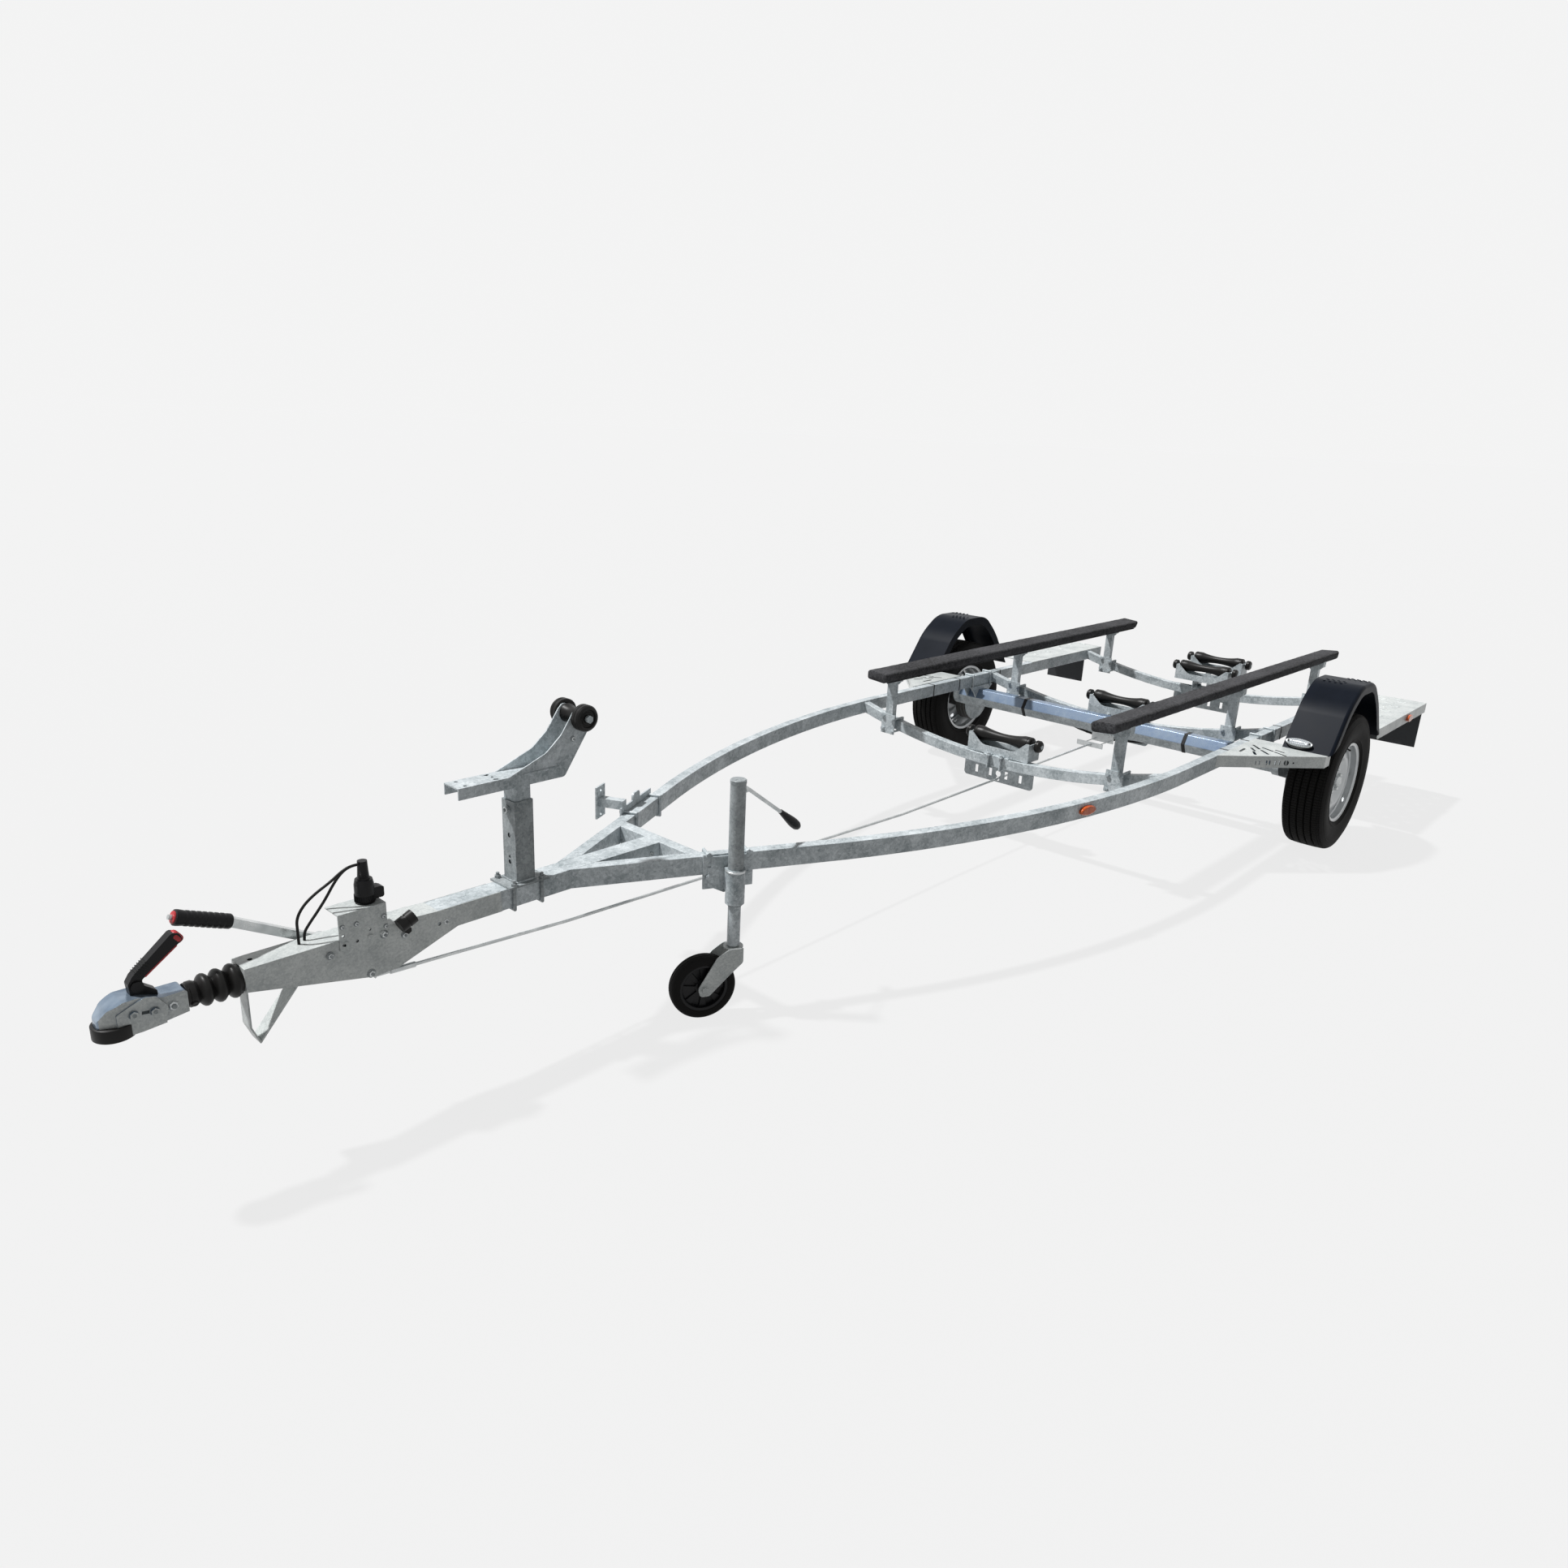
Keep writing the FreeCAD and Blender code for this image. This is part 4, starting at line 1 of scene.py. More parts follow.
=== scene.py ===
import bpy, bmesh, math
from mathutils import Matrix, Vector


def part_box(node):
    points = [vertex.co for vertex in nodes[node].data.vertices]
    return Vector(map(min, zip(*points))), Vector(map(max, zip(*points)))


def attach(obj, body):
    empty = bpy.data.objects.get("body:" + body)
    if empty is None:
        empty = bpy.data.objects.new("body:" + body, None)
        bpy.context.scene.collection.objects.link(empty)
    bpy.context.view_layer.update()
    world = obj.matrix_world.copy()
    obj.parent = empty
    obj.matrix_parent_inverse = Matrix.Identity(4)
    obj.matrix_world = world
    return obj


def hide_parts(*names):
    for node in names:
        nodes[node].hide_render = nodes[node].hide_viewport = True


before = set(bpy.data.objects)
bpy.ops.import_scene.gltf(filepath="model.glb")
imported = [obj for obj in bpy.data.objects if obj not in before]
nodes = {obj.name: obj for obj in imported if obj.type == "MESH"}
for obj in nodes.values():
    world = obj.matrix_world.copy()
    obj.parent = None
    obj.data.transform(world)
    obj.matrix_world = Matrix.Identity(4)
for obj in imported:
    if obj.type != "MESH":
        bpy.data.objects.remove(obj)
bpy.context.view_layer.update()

# %% [markdown]
# # A boat trailer, parked on its jockey wheel
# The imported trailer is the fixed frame: every tube, plate and wheel is already where it belongs. This lesson
# gives each of them its real finish, and models by hand what a plain solid leaves out: tread, spokes,
# carpet, perforated plates, ribbed grips and lamp lenses. Blender counts in metres, with X forward, Y to the
# left and Z up, while most sizes here are written in millimetres, as on a drawing.

MM = 0.001
AXLE_X, WHEEL_HEIGHT, HALF_TRACK = -1.760, 322, 1040
SIDES = ((1, "left"), (-1, "right"))
FRONT, LEFT, RIGHT, UP = (1, 0, 0), (0, 1, 0), (0, -1, 0), (0, 0, 1)


def at(station, y, z):
    """A place given in millimetres from the wheels' axis, the centreline and the floor."""
    return Vector((AXLE_X + station * MM, y * MM, z * MM))


# %% [markdown]
# ## The camera
# The photograph was taken with a wide lens at about eye level, close to the coupling, so near parts look
# large. The camera's place, aim and slight roll were worked out from the straight, symmetrical frame. Its
# focal length is given as a share of the frame's width, because that is what decides perspective.

# %% camera
EYE = (5320.4, 2430.6, 1749.6)
YAW, PITCH, ROLL = 222.04, -17.91, 2.67
FOCAL_SHARE = 1341.5 / 1932


def linked(name, data):
    """A new object in the scene that holds a mesh, a camera or a light."""
    piece = bpy.data.objects.new(name, data)
    bpy.context.scene.collection.objects.link(piece)
    return piece


def aim(yaw, pitch, roll):
    """A camera's turn, from the direction it looks in and its roll, all in degrees."""
    yaw, pitch, roll = (math.radians(v) for v in (yaw, pitch, roll))
    forward = Vector((math.cos(yaw) * math.cos(pitch), math.sin(yaw) * math.cos(pitch), math.sin(pitch)))
    level = forward.cross(Vector(UP)).normalized()
    upright = level.cross(forward)
    right = math.cos(roll) * level + math.sin(roll) * upright
    up = -math.sin(roll) * level + math.cos(roll) * upright
    return Matrix((right, up, -forward)).transposed().to_4x4()


lens = bpy.data.cameras.new("camera")
lens.sensor_width = 36
lens.lens = lens.sensor_width * FOCAL_SHARE
camera = linked("camera", lens)
camera.matrix_world = Matrix.Translation(at(*EYE)) @ aim(YAW, PITCH, ROLL)
bpy.context.scene.camera = camera
print("focal length", round(lens.lens, 2), "mm")

# %% [markdown]
# ## Colour and node helpers
# Colours are picked on a screen as sRGB hex values, but Blender mixes light in linear values, so one
# function turns them over. Another adds a shader node with its settings and links in one line, which keeps
# each material short. A noise texture has no size of its own, so its scale is worked out from the blobs that
# it should show.

# %% colour and node helpers
def srgb(code):
    """A hex colour in linear values."""
    parts = [int(code[i:i + 2], 16) / 255 for i in (1, 3, 5)]
    return (*[p / 12.92 if p <= 0.04045 else ((p + 0.055) / 1.055) ** 2.4 for p in parts], 1)


def add(owner, kind, settings=None, links=None):
    """Adds a node and gives its outputs. A key is an attribute, an input's name or an input's number."""
    tree = owner.node_tree
    made = tree.nodes.new("ShaderNode" + kind)
    for key, value in (settings or {}).items():
        if isinstance(key, int) or key in made.inputs:
            made.inputs[key].default_value = value
        else:
            setattr(made, key, value)
    for key, source in (links or {}).items():
        tree.links.new(source, made.inputs[key])
    return made.outputs


def bare(name):
    """A new material without nodes, and Object coordinates to draw its patterns on."""
    material = bpy.data.materials.new(name)
    material.use_nodes = True
    material.node_tree.nodes.clear()
    return material, add(material, "TexCoord")["Object"]


def blobs(millimetres):
    """The noise scale that gives blobs of about this size."""
    return 0.5 / (millimetres * MM)


print("mid grey in linear values", round(srgb("#808080")[0], 3))

# %% [markdown]
# ## Hot-dip galvanised steel
# The frame is welded, then dipped in molten zinc. As the zinc sets it grows flat crystals, the spangle, each
# a slightly different grey, under a cloudy bloom that dulls the shine. Voronoi cells about 9 mm across give
# the crystals, and two sizes of noise the bloom and a speckle, which is drawn coarser than the real one so
# that it shows. Sheet that is dipped before it is folded is smoother and paler. The axle has almost no
# spangle, and its darker, bluer grey is a painted reflection of the sky. The cast iron of the brake drums
# has the same kind of grain, dark and rough.

# %% galvanised steel
def galvanised(name, dark, light, spangle_mm, dull, clear, metal=0.05):
    """Crystals under a bloom. Roughness runs from dull to clear as the grey runs from dark to light."""
    material, place = bare(name)
    spangle = {"Scale": 1 / (spangle_mm * MM), "Randomness": 1.0}
    crystals = add(material, "TexVoronoi", spangle, {"Vector": place})
    one_grey = add(material, "SeparateColor", {}, {0: crystals["Color"]})
    wide = {"Scale": blobs(45), "Detail": 4, "Roughness": 0.6}
    bloom = add(material, "TexNoise", wide, {"Vector": place})
    fine = {"Scale": blobs(2.5), "Detail": 3, "Roughness": 0.6}
    speckle = add(material, "TexNoise", fine, {"Vector": place})
    cloud = add(material, "Math", {"operation": "MULTIPLY_ADD", 1: 0.25}, {0: one_grey[0], 2: bloom[0]})
    cloud = add(material, "Math", {"operation": "MULTIPLY_ADD", 1: 0.6}, {0: speckle[0], 2: cloud[0]})
    spread = {"From Min": 0.62, "From Max": 1.22}
    share = add(material, "MapRange", spread, {"Value": cloud[0]})
    tone = add(material, "Mix", {"data_type": "RGBA", 6: srgb(dark), 7: srgb(light)}, {0: share[0]})
    gloss = add(material, "MapRange", {**spread, "To Min": dull, "To Max": clear}, {"Value": cloud[0]})
    bump = add(material, "Bump", {"Strength": 1.0, "Distance": 0.1 * MM}, {"Height": cloud[0]})
    skin = add(material, "BsdfPrincipled", {"Metallic": metal},
               {"Base Color": tone[2], "Roughness": gloss[0], "Normal": bump[0]})
    add(material, "OutputMaterial", {}, {0: skin[0]})
    return material


STEEL = galvanised("hot_dip_galvanised_steel", "#8a9498", "#d9e0e3", 9, 0.5, 0.32)
PLATED = galvanised("sheet_galvanised_steel", "#aab0b0", "#d8dcda", 5, 0.42, 0.3)
# The axle's upper faces: a darker blue grey that is a painted reflection of the sky.
AXLE_SKY_REFLECTION = galvanised("axle_painted_sky_reflection", "#5d718c", "#8797aa", 14, 0.34, 0.22, 0.2)
# A darker grey; on the bolts' washers it is painted shade round each head.
DARK_STEEL = galvanised("darker_galvanised_steel", "#6f7678", "#aab0b2", 7, 0.52, 0.4)
CAST_IRON = galvanised("cast_iron_brake_drum", "#3c3d3d", "#5c5b58", 5, 0.72, 0.55)
print("galvanised finishes made")

# %% [markdown]
# ## Zinc plate, a painted sky reflection and painted shade in cuts
# Small hardware is electroplated: thinner, smoother and brighter than dipped steel. The coupling head is
# polished, and its dome shows streaks of blue and white, a painted reflection of the sky. The walls of
# laser-cut slots and drilled holes are dark grey: painted shade inside the cuts. Large soft blobs of noise
# move the colour and the roughness together, and a finer one gives a slight ripple.

# %% zinc plate
def bright_zinc(name, dark, light, blob_mm, dull, clear, metal=0.6):
    """Plated steel. Roughness runs from dull to clear as the colour runs from dark to light."""
    material, place = bare(name)
    streaks = {"Scale": blobs(blob_mm), "Detail": 3, "Roughness": 0.6}
    cloud = add(material, "TexNoise", streaks, {"Vector": place})
    share = add(material, "MapRange", {"From Min": 0.3, "From Max": 0.7}, {"Value": cloud[0]})
    tone = add(material, "Mix", {"data_type": "RGBA", 6: srgb(dark), 7: srgb(light)}, {0: share[0]})
    shine = {"From Min": 0.35, "From Max": 0.65, "To Min": dull, "To Max": clear}
    gloss = add(material, "MapRange", shine, {"Value": cloud[0]})
    ripple = add(material, "TexNoise", {"Scale": blobs(3), "Detail": 2, "Roughness": 0.6}, {"Vector": place})
    bump = add(material, "Bump", {"Strength": 1.0, "Distance": 0.03 * MM}, {"Height": ripple[0]})
    skin = add(material, "BsdfPrincipled", {"Metallic": metal},
               {"Base Color": tone[2], "Roughness": gloss[0], "Normal": bump[0]})
    add(material, "OutputMaterial", {}, {0: skin[0]})
    return material


ZINC = bright_zinc("bright_zinc_plate", "#b9bdbe", "#d6d9d9", 25, 0.34, 0.22)
# The coupling head's dome: blue and white streaks, a painted reflection of the sky.
HEAD_SKY_REFLECTION = bright_zinc("head_painted_sky_reflection", "#475d74", "#a5b4c3", 45, 0.3, 0.16, 0.5)
# Walls of cut slots and holes: dark grey, painted shade inside the cuts.
CUT_WALL_SHADE = bright_zinc("cut_wall_painted_shade", "#23282a", "#3b4143", 6, 0.6, 0.5)
print("zinc finishes made")

# %% [markdown]
# ## Silver lacquer
# The road wheels are sprayed with silver lacquer: metal flakes in a tinted binder, under a clear coat. The
# flakes give a soft sheen that the coat sharpens. Real ones are too fine to show, so theirs are drawn 1.5 mm
# wide.

# %% silver lacquer
LACQUER, place = bare("silver_wheel_lacquer")
flakes = add(LACQUER, "TexNoise", {"Scale": blobs(1.5), "Detail": 1, "Roughness": 0.6}, {"Vector": place})
dust = add(LACQUER, "TexNoise", {"Scale": blobs(60), "Detail": 4, "Roughness": 0.6}, {"Vector": place})
tone = add(LACQUER, "Mix", {"data_type": "RGBA", 6: srgb("#a1a5a8"), 7: srgb("#d6d9da")}, {0: dust[0]})
gloss = add(LACQUER, "MapRange", {"To Min": 0.26, "To Max": 0.38}, {"Value": flakes[0]})
skin = add(LACQUER, "BsdfPrincipled", {"Metallic": 0.45, "Coat Weight": 0.5, "Coat Roughness": 0.12},
           {"Base Color": tone[2], "Roughness": gloss[0]})
add(LACQUER, "OutputMaterial", {}, {0: skin[0]})
print("lacquer made")

# %% [markdown]
# ## Moulded plastic and rubber
# The mudguards are vacuum-formed polyethylene with a satin skin. The bellows, rollers and boot are EPDM
# rubber, which is blacker and greys where hands and dust have touched it, and tyre rubber is duller still.
# Grips, ties and the plug are moulded nylon, hard and a little glossy. The leads have a smooth PVC skin, and
# the lamp boards' plastic has gone grey and dull in the sun. One recipe serves for all: a colour that noise
# lifts a little, a roughness that follows it, and a bump, which is drawn coarser than the real grain so that
# it shows.

# %% plastics and rubbers
def moulded(name, dark, light, rough_low, rough_high, grain_mm, depth_mm, level=0.5):
    """Plastic or rubber with a fine relief. The level is how strongly it mirrors."""
    material, place = bare(name)
    cloud = add(material, "TexNoise", {"Scale": blobs(40), "Detail": 4, "Roughness": 0.6}, {"Vector": place})
    tone = add(material, "Mix", {"data_type": "RGBA", 6: srgb(dark), 7: srgb(light)}, {0: cloud[0]})
    gloss = add(material, "MapRange", {"To Min": rough_low, "To Max": rough_high}, {"Value": cloud[0]})
    pores = {"Scale": blobs(grain_mm), "Detail": 2, "Roughness": 0.6}
    grain = add(material, "TexNoise", pores, {"Vector": place})
    bump = add(material, "Bump", {"Strength": 1.0, "Distance": depth_mm * MM}, {"Height": grain[0]})
    skin = add(material, "BsdfPrincipled", {"IOR": 1.5, "Specular IOR Level": level},
               {"Base Color": tone[2], "Roughness": gloss[0], "Normal": bump[0]})
    add(material, "OutputMaterial", {}, {0: skin[0]})
    return material


GUARD_PLASTIC = moulded("satin_black_polyethylene", "#0f131a", "#171c25", 0.3, 0.4, 2.5, 0.04, 0.04)
HARD_PLASTIC = moulded("black_nylon", "#0b0b0d", "#161618", 0.32, 0.48, 1.5, 0.05, 0.2)
RUBBER = moulded("black_epdm_rubber", "#0c0c0c", "#1c1b1a", 0.32, 0.46, 2.0, 0.06, 0.2)
TYRE_RUBBER = moulded("tyre_rubber", "#0d0d0d", "#1d1c1b", 0.6, 0.8, 2.5, 0.12, 0.1)
CABLE_SKIN = moulded("pvc_cable_sheath", "#0b0b0b", "#151515", 0.4, 0.5, 3.0, 0.02, 0.2)
RED_PLASTIC = moulded("red_nylon", "#a31a1e", "#c9303a", 0.35, 0.45, 1.5, 0.04)
BOARD_PLASTIC = moulded("grey_black_board", "#232528", "#34373a", 0.5, 0.65, 2.0, 0.05, 0.4)
print("plastics and rubbers made")

# %% [markdown]
# ## Lamp lenses
# Lenses are acrylic with a pattern of small prisms moulded inside, so light breaks up in them. Colour deep
# in the plastic with a clear, glossy skin over it gives that look without having to trace light through the
# prisms.

# %% lenses
def lens_acrylic(name, deep, bright, prism_mm):
    """Prisms under a clear skin, deep at their edges and bright in their middles."""
    material, place = bare(name)
    facets = {"feature": "DISTANCE_TO_EDGE", "Scale": 1 / (prism_mm * MM), "Randomness": 0.15}
    prisms = add(material, "TexVoronoi", facets, {"Vector": place})
    share = add(material, "MapRange", {"From Max": 0.4}, {"Value": prisms[0]})
    tone = add(material, "Mix", {"data_type": "RGBA", 6: srgb(deep), 7: srgb(bright)}, {0: share[0]})
    bump = add(material, "Bump", {"Strength": 1.0, "Distance": 0.5 * MM}, {"Height": prisms[0]})
    clear_skin = {"Coat Weight": 0.3, "Coat Roughness": 0.03, "Specular IOR Level": 0.3}
    skin = add(material, "BsdfPrincipled", {"Roughness": 0.14, "IOR": 1.49, **clear_skin},
               {"Base Color": tone[2], "Normal": bump[0]})
    add(material, "OutputMaterial", {}, {0: skin[0]})
    return material


AMBER = lens_acrylic("amber_acrylic", "#b53a04", "#f07a14", 6)
RED_LENS = lens_acrylic("red_acrylic", "#6e0808", "#c01616", 5)
CLEAR_LENS = lens_acrylic("clear_acrylic", "#8f959b", "#e9ecee", 8)
print("lenses made")

# %% [markdown]
# ## Needle-felt carpet
# The bunks are boards wrapped in charcoal needle-felt carpet, so the hull isn't scratched. Up close it is a
# mat of crimped fibres a few tenths of a millimetre thick; from here it shows as a speckle. Its pattern is
# drawn at 6 mm, coarser than real fibres, so that it still shows in the picture. Sheen gives the soft edge
# that fibres have.

# %% carpet
CARPET, place = bare("charcoal_needle_felt")
fibres = add(CARPET, "TexNoise", {"Scale": blobs(6), "Detail": 5, "Roughness": 0.85}, {"Vector": place})
wear = add(CARPET, "TexNoise", {"Scale": blobs(150), "Detail": 2, "Roughness": 0.6}, {"Vector": place})
speck = add(CARPET, "Math", {"operation": "MULTIPLY_ADD", 1: 0.3}, {0: wear[0], 2: fibres[0]})
share = add(CARPET, "MapRange", {"From Min": 0.5, "From Max": 0.8}, {"Value": speck[0]})
tone = add(CARPET, "Mix", {"data_type": "RGBA", 6: srgb("#0e0e0f"), 7: srgb("#57575a")}, {0: share[0]})
bump = add(CARPET, "Bump", {"Strength": 1.0, "Distance": 1.6 * MM}, {"Height": fibres[0]})
sheen = {"Sheen Weight": 0.08, "Sheen Roughness": 0.6, "Specular IOR Level": 0.08}
skin = add(CARPET, "BsdfPrincipled", {"Roughness": 0.95, "IOR": 1.45, **sheen},
           {"Base Color": tone[2], "Normal": bump[0]})
add(CARPET, "OutputMaterial", {}, {0: skin[0]})
print("carpet made")

# %% [markdown]
# ## Choosing what to work on
# Pieces are made the way a hand would make them: add a primitive, choose faces or edges by their place, then
# extrude, inset, bevel and cut. An operator acts on all that is selected, so every tool first clears the
# choice.

# %% tools that choose
SAME_PLACE = 0.00001


def clear_choice():
    """Object mode with nothing selected."""
    if bpy.context.object and bpy.context.object.mode != "OBJECT":
        close_mesh()
    bpy.ops.object.select_all(action="DESELECT")


def take(piece):
    """Makes one piece the only choice."""
    clear_choice()
    piece.select_set(True)
    bpy.context.view_layer.objects.active = piece


def close_mesh():
    """Back to Object mode."""
    bpy.ops.object.mode_set(mode="OBJECT")


def open_mesh(piece, action="SELECT", kind=None):
    """Edit mode with all of a piece selected, or nothing."""
    take(piece)
    bpy.ops.object.mode_set(mode="EDIT")
    if kind:
        bpy.ops.mesh.select_mode(type=kind)
    bpy.ops.mesh.select_all(action=action)


def choose(piece, test):
    """Edit mode with the faces selected whose centre and normal pass the test."""
    open_mesh(piece, "DESELECT", "FACE")
    close_mesh()
    for face in piece.data.polygons:
        face.select = test(face.center, face.normal)
    bpy.ops.object.mode_set(mode="EDIT")


def choose_edges(piece, test):
    """Edit mode with the edges selected that pass the test."""
    open_mesh(piece, "DESELECT", "EDGE")
    shape = bmesh.from_edit_mesh(piece.data)
    for edge in shape.edges:
        edge.select = test(edge)
    bmesh.update_edit_mesh(piece.data)


def mend(piece):
    """Joins doubled points and turns all faces outwards."""
    open_mesh(piece)
    bpy.ops.mesh.remove_doubles(threshold=SAME_PLACE)
    bpy.ops.mesh.normals_make_consistent(inside=False)
    close_mesh()


print("points closer than", SAME_PLACE, "m count as one")

# %% [markdown]
# ## Placing, copying and joining
# A finished piece's object stays at the origin and its place goes into its mesh, because the patterns on it
# are drawn on Object coordinates and would slide with the object. What repeats is modelled once, copied,
# each copy with a mesh of its own, and joined. A finished piece then gets its shading, its finish and the
# body that it rides on.

# %% tools that place, copy and finish
def put(piece, turn):
    """Moves a piece's mesh, so that its object stays at the origin."""
    piece.data.transform(turn)
    return piece


def join(name, pieces):
    """Joins pieces into the first one."""
    clear_choice()
    for piece in pieces:
        piece.select_set(True)
    bpy.context.view_layer.objects.active = pieces[0]
    if len(pieces) > 1:
        bpy.ops.object.join()
    pieces[0].name = name
    return pieces[0]


def repeat(piece, turns):
    """Copies a piece to each place, every copy with its own mesh, and joins them into one."""
    name = piece.name
    clear_choice()
    twins = []
    for turn in turns:
        twins.append(put(linked(name, piece.data.copy()), turn))
    bpy.data.objects.remove(piece)
    return join(name, twins)


def block(name, length, width, height, round_mm=1.0, steps=2):
    """A block about the origin with rounded edges."""
    clear_choice()
    bpy.ops.mesh.primitive_cube_add(size=MM)
    piece = bpy.context.object
    piece.name = name
    bpy.ops.object.mode_set(mode="EDIT")
    bpy.ops.transform.resize(value=(length, width, height))
    bpy.ops.mesh.bevel(offset=round_mm * MM, segments=steps, affect="EDGES")
    close_mesh()
    return piece


def coat(piece, material):
    """Gives a piece one material."""
    piece.data.materials.clear()
    piece.data.materials.append(material)


def done(piece, material, body, angle=30):
    """Smooth shading up to an angle, a material and a body to ride on."""
    take(piece)
    bpy.ops.object.shade_smooth_by_angle(angle=math.radians(angle))
    if material:
        coat(piece, material)
    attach(piece, body)
    return piece


print("placing tools ready")

# %% [markdown]
# ## Carpeted bunks
# A bunk is a softwood board wrapped in needle-felt carpet. The wrap softens every edge, swells a little
# between the fold lines, and is lapped and stapled underneath, where a seam runs the whole length. A cube is
# stretched to the board, its long edges are bevelled, its lower end is cut back, and cross cuts let a slight
# swell be given point by point.

# %% bunks
BUNK_FRONT, BUNK_REAR, BUNK_OUT, BUNK_HIGH = 1400, -1235, 583, 698
BUNK_LENGTH, BOARD_WIDE, BOARD_THICK = BUNK_FRONT - BUNK_REAR, 100, 44
BUNK_LEAN, BUNK_SPLAY = math.radians(5), math.radians(-0.72)
CROSS_CUTS, STITCH_STEP = 132, 11


def bunk(side, name):
    """One bunk, on the left for side 1 and on the right for side -1."""
    clear_choice()
    bpy.ops.mesh.primitive_cube_add(size=1)
    piece = bpy.context.object
    piece.name = "carpeted_bunk_" + name
    bpy.ops.object.mode_set(mode="EDIT")
    bpy.ops.transform.resize(value=(BUNK_LENGTH * MM, BOARD_WIDE * MM, BOARD_THICK * MM))
    close_mesh()
    choose_edges(piece, lambda e: abs(e.verts[0].co.x - e.verts[1].co.x) > 1)
    bpy.ops.mesh.bevel(offset=0.011, segments=4, affect="EDGES")
    close_mesh()
    choose(piece, lambda c, n: abs(n.x) > 0.9)
    bpy.ops.mesh.inset(thickness=0.004, depth=0)
    bpy.ops.mesh.inset(thickness=0.007, depth=0)
    close_mesh()
    end = BUNK_LENGTH * MM / 2
    for point in piece.data.vertices:
        if abs(point.co.x) > end - 0.001:
            rim = max(abs(point.co.y) - 0.032, abs(point.co.z) - 0.006, 0) / 0.018
            drop = max(0.002 - point.co.z, 0) * (0.2 if point.co.x > 0 else 1.05)
            point.co.x -= math.copysign(0.004 * min(rim, 1) + drop, point.co.x)
    open_mesh(piece)
    for cross in range(1, CROSS_CUTS):
        bpy.ops.mesh.select_all(action="SELECT")
        place = (-BUNK_LENGTH / 2 + 26 + (BUNK_LENGTH - 52) * cross / CROSS_CUTS) * MM
        bpy.ops.mesh.bisect(plane_co=(place, 0, 0), plane_no=FRONT)
    close_mesh()
    for point in piece.data.vertices:
        x, y, z = point.co
        swell = 0.0006 * math.sin(x * 41 + y * 60) * math.sin(x * 13 + 1.3)
        pull = swell + 0.0005 * math.sin(x * 97 + z * 200)
        flat = 1 - (abs(y) / 0.05) ** 2
        if z > 0.012:
            point.co.z += -0.0012 + 0.0011 * flat + pull * 0.7
        elif abs(y) > 0.04:
            point.co.y += math.copysign(-0.001 + pull, y)
    flap = block("flap", BUNK_LENGTH - 70, 9, 3, 1, 2)
    put(flap, Matrix.Translation((0, -0.0455, -0.0225)))
    stitch = block("stitch", 5.5, 3.2, 1.6, 0.5, 1)
    tilt = Matrix.Rotation(math.radians(24), 4, "Z")
    rows = [Matrix.Translation((x * MM, -0.0455, -0.0243)) @ tilt
            for x in range(int(-BUNK_LENGTH / 2) + 42, int(BUNK_LENGTH / 2) - 40, STITCH_STEP)]
    piece = join(piece.name, [piece, flap, repeat(stitch, rows)])
    lean, splay = Matrix.Rotation(BUNK_LEAN, 4, "X"), Matrix.Rotation(BUNK_SPLAY, 4, "Z")
    put(piece, Matrix.Translation(at((BUNK_FRONT + BUNK_REAR) / 2, BUNK_OUT, BUNK_HIGH)) @ splay @ lean)
    if side < 0:
        put(piece, Matrix.Diagonal((1, -1, 1, 1)))
        mend(piece)
    done(piece, CARPET, "trailer", 50)
    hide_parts("bunk_" + name)


for side, name in SIDES:
    bunk(side, name)
print("two bunks,", BUNK_LENGTH, "mm long")

# %% [markdown]
# ## A lathe
# Tyres, rims, rollers, bolts and caps are all round, so one tool makes them as a lathe would. It draws a rim
# as a circle and extrudes it from ring to ring, drawn out or in to each ring's radius. It turns about Z, so
# a second tool gives the turn that lays Z along any axis.

# %% lathe
def lathe(name, rings, sides=48):
    """Turned about Z: a rim is drawn and extruded from ring to ring. A ring is a height and a radius."""
    clear_choice()
    height, radius = rings[0]
    bpy.ops.mesh.primitive_circle_add(vertices=sides, radius=radius * MM)
    piece = bpy.context.object
    piece.name = name
    bpy.ops.object.mode_set(mode="EDIT")
    bpy.ops.transform.translate(value=(0, 0, height * MM))
    for high, wide in rings[1:]:
        step = (0, 0, (high - height) * MM)
        bpy.ops.mesh.extrude_edges_move(TRANSFORM_OT_translate={"value": step})
        share = wide / radius
        bpy.ops.transform.resize(value=(share, share, 1), center_override=(0, 0, high * MM))
        height, radius = high, wide
    bpy.ops.mesh.select_all(action="SELECT")
    if rings[0] == rings[-1]:
        bpy.ops.mesh.remove_doubles(threshold=SAME_PLACE)
    else:
        bpy.ops.mesh.select_mode(type="EDGE")
        bpy.ops.mesh.select_all(action="DESELECT")
        bpy.ops.mesh.select_non_manifold()
        bpy.ops.mesh.edge_face_add()
        bpy.ops.mesh.select_all(action="SELECT")
    bpy.ops.mesh.normals_make_consistent(inside=False)
    close_mesh()
    return piece


def along(place, axis, toward=FRONT):
    """A turn and place whose Z runs along an axis and whose X leans towards a direction."""
    z = Vector(axis).normalized()
    x = Vector(toward) - z * Vector(toward).dot(z)
    if x.length < 0.01:
        x = Vector(UP) - z * z.z
    x.normalize()
    return Matrix.Translation(place) @ Matrix((x, z.cross(x), z)).transposed().to_4x4()


def mirrored(half, middle=()):
    """The rings of a whole section, from those on one side of its middle."""
    return [(-y, r) for y, r in half] + [*middle, *reversed(half)]


print("lathe ready")

# %% [markdown]
# ## Tyres
# The tyre's section is turned first: bead, a ridge that guards the rim, sidewall, shoulder, and five ribs
# between four grooves. Then the ribs' faces are inset one by one and raised, which leaves narrow gaps
# between blocks. It is how a mould makes them too, and it costs far fewer cuts than carving each gap.

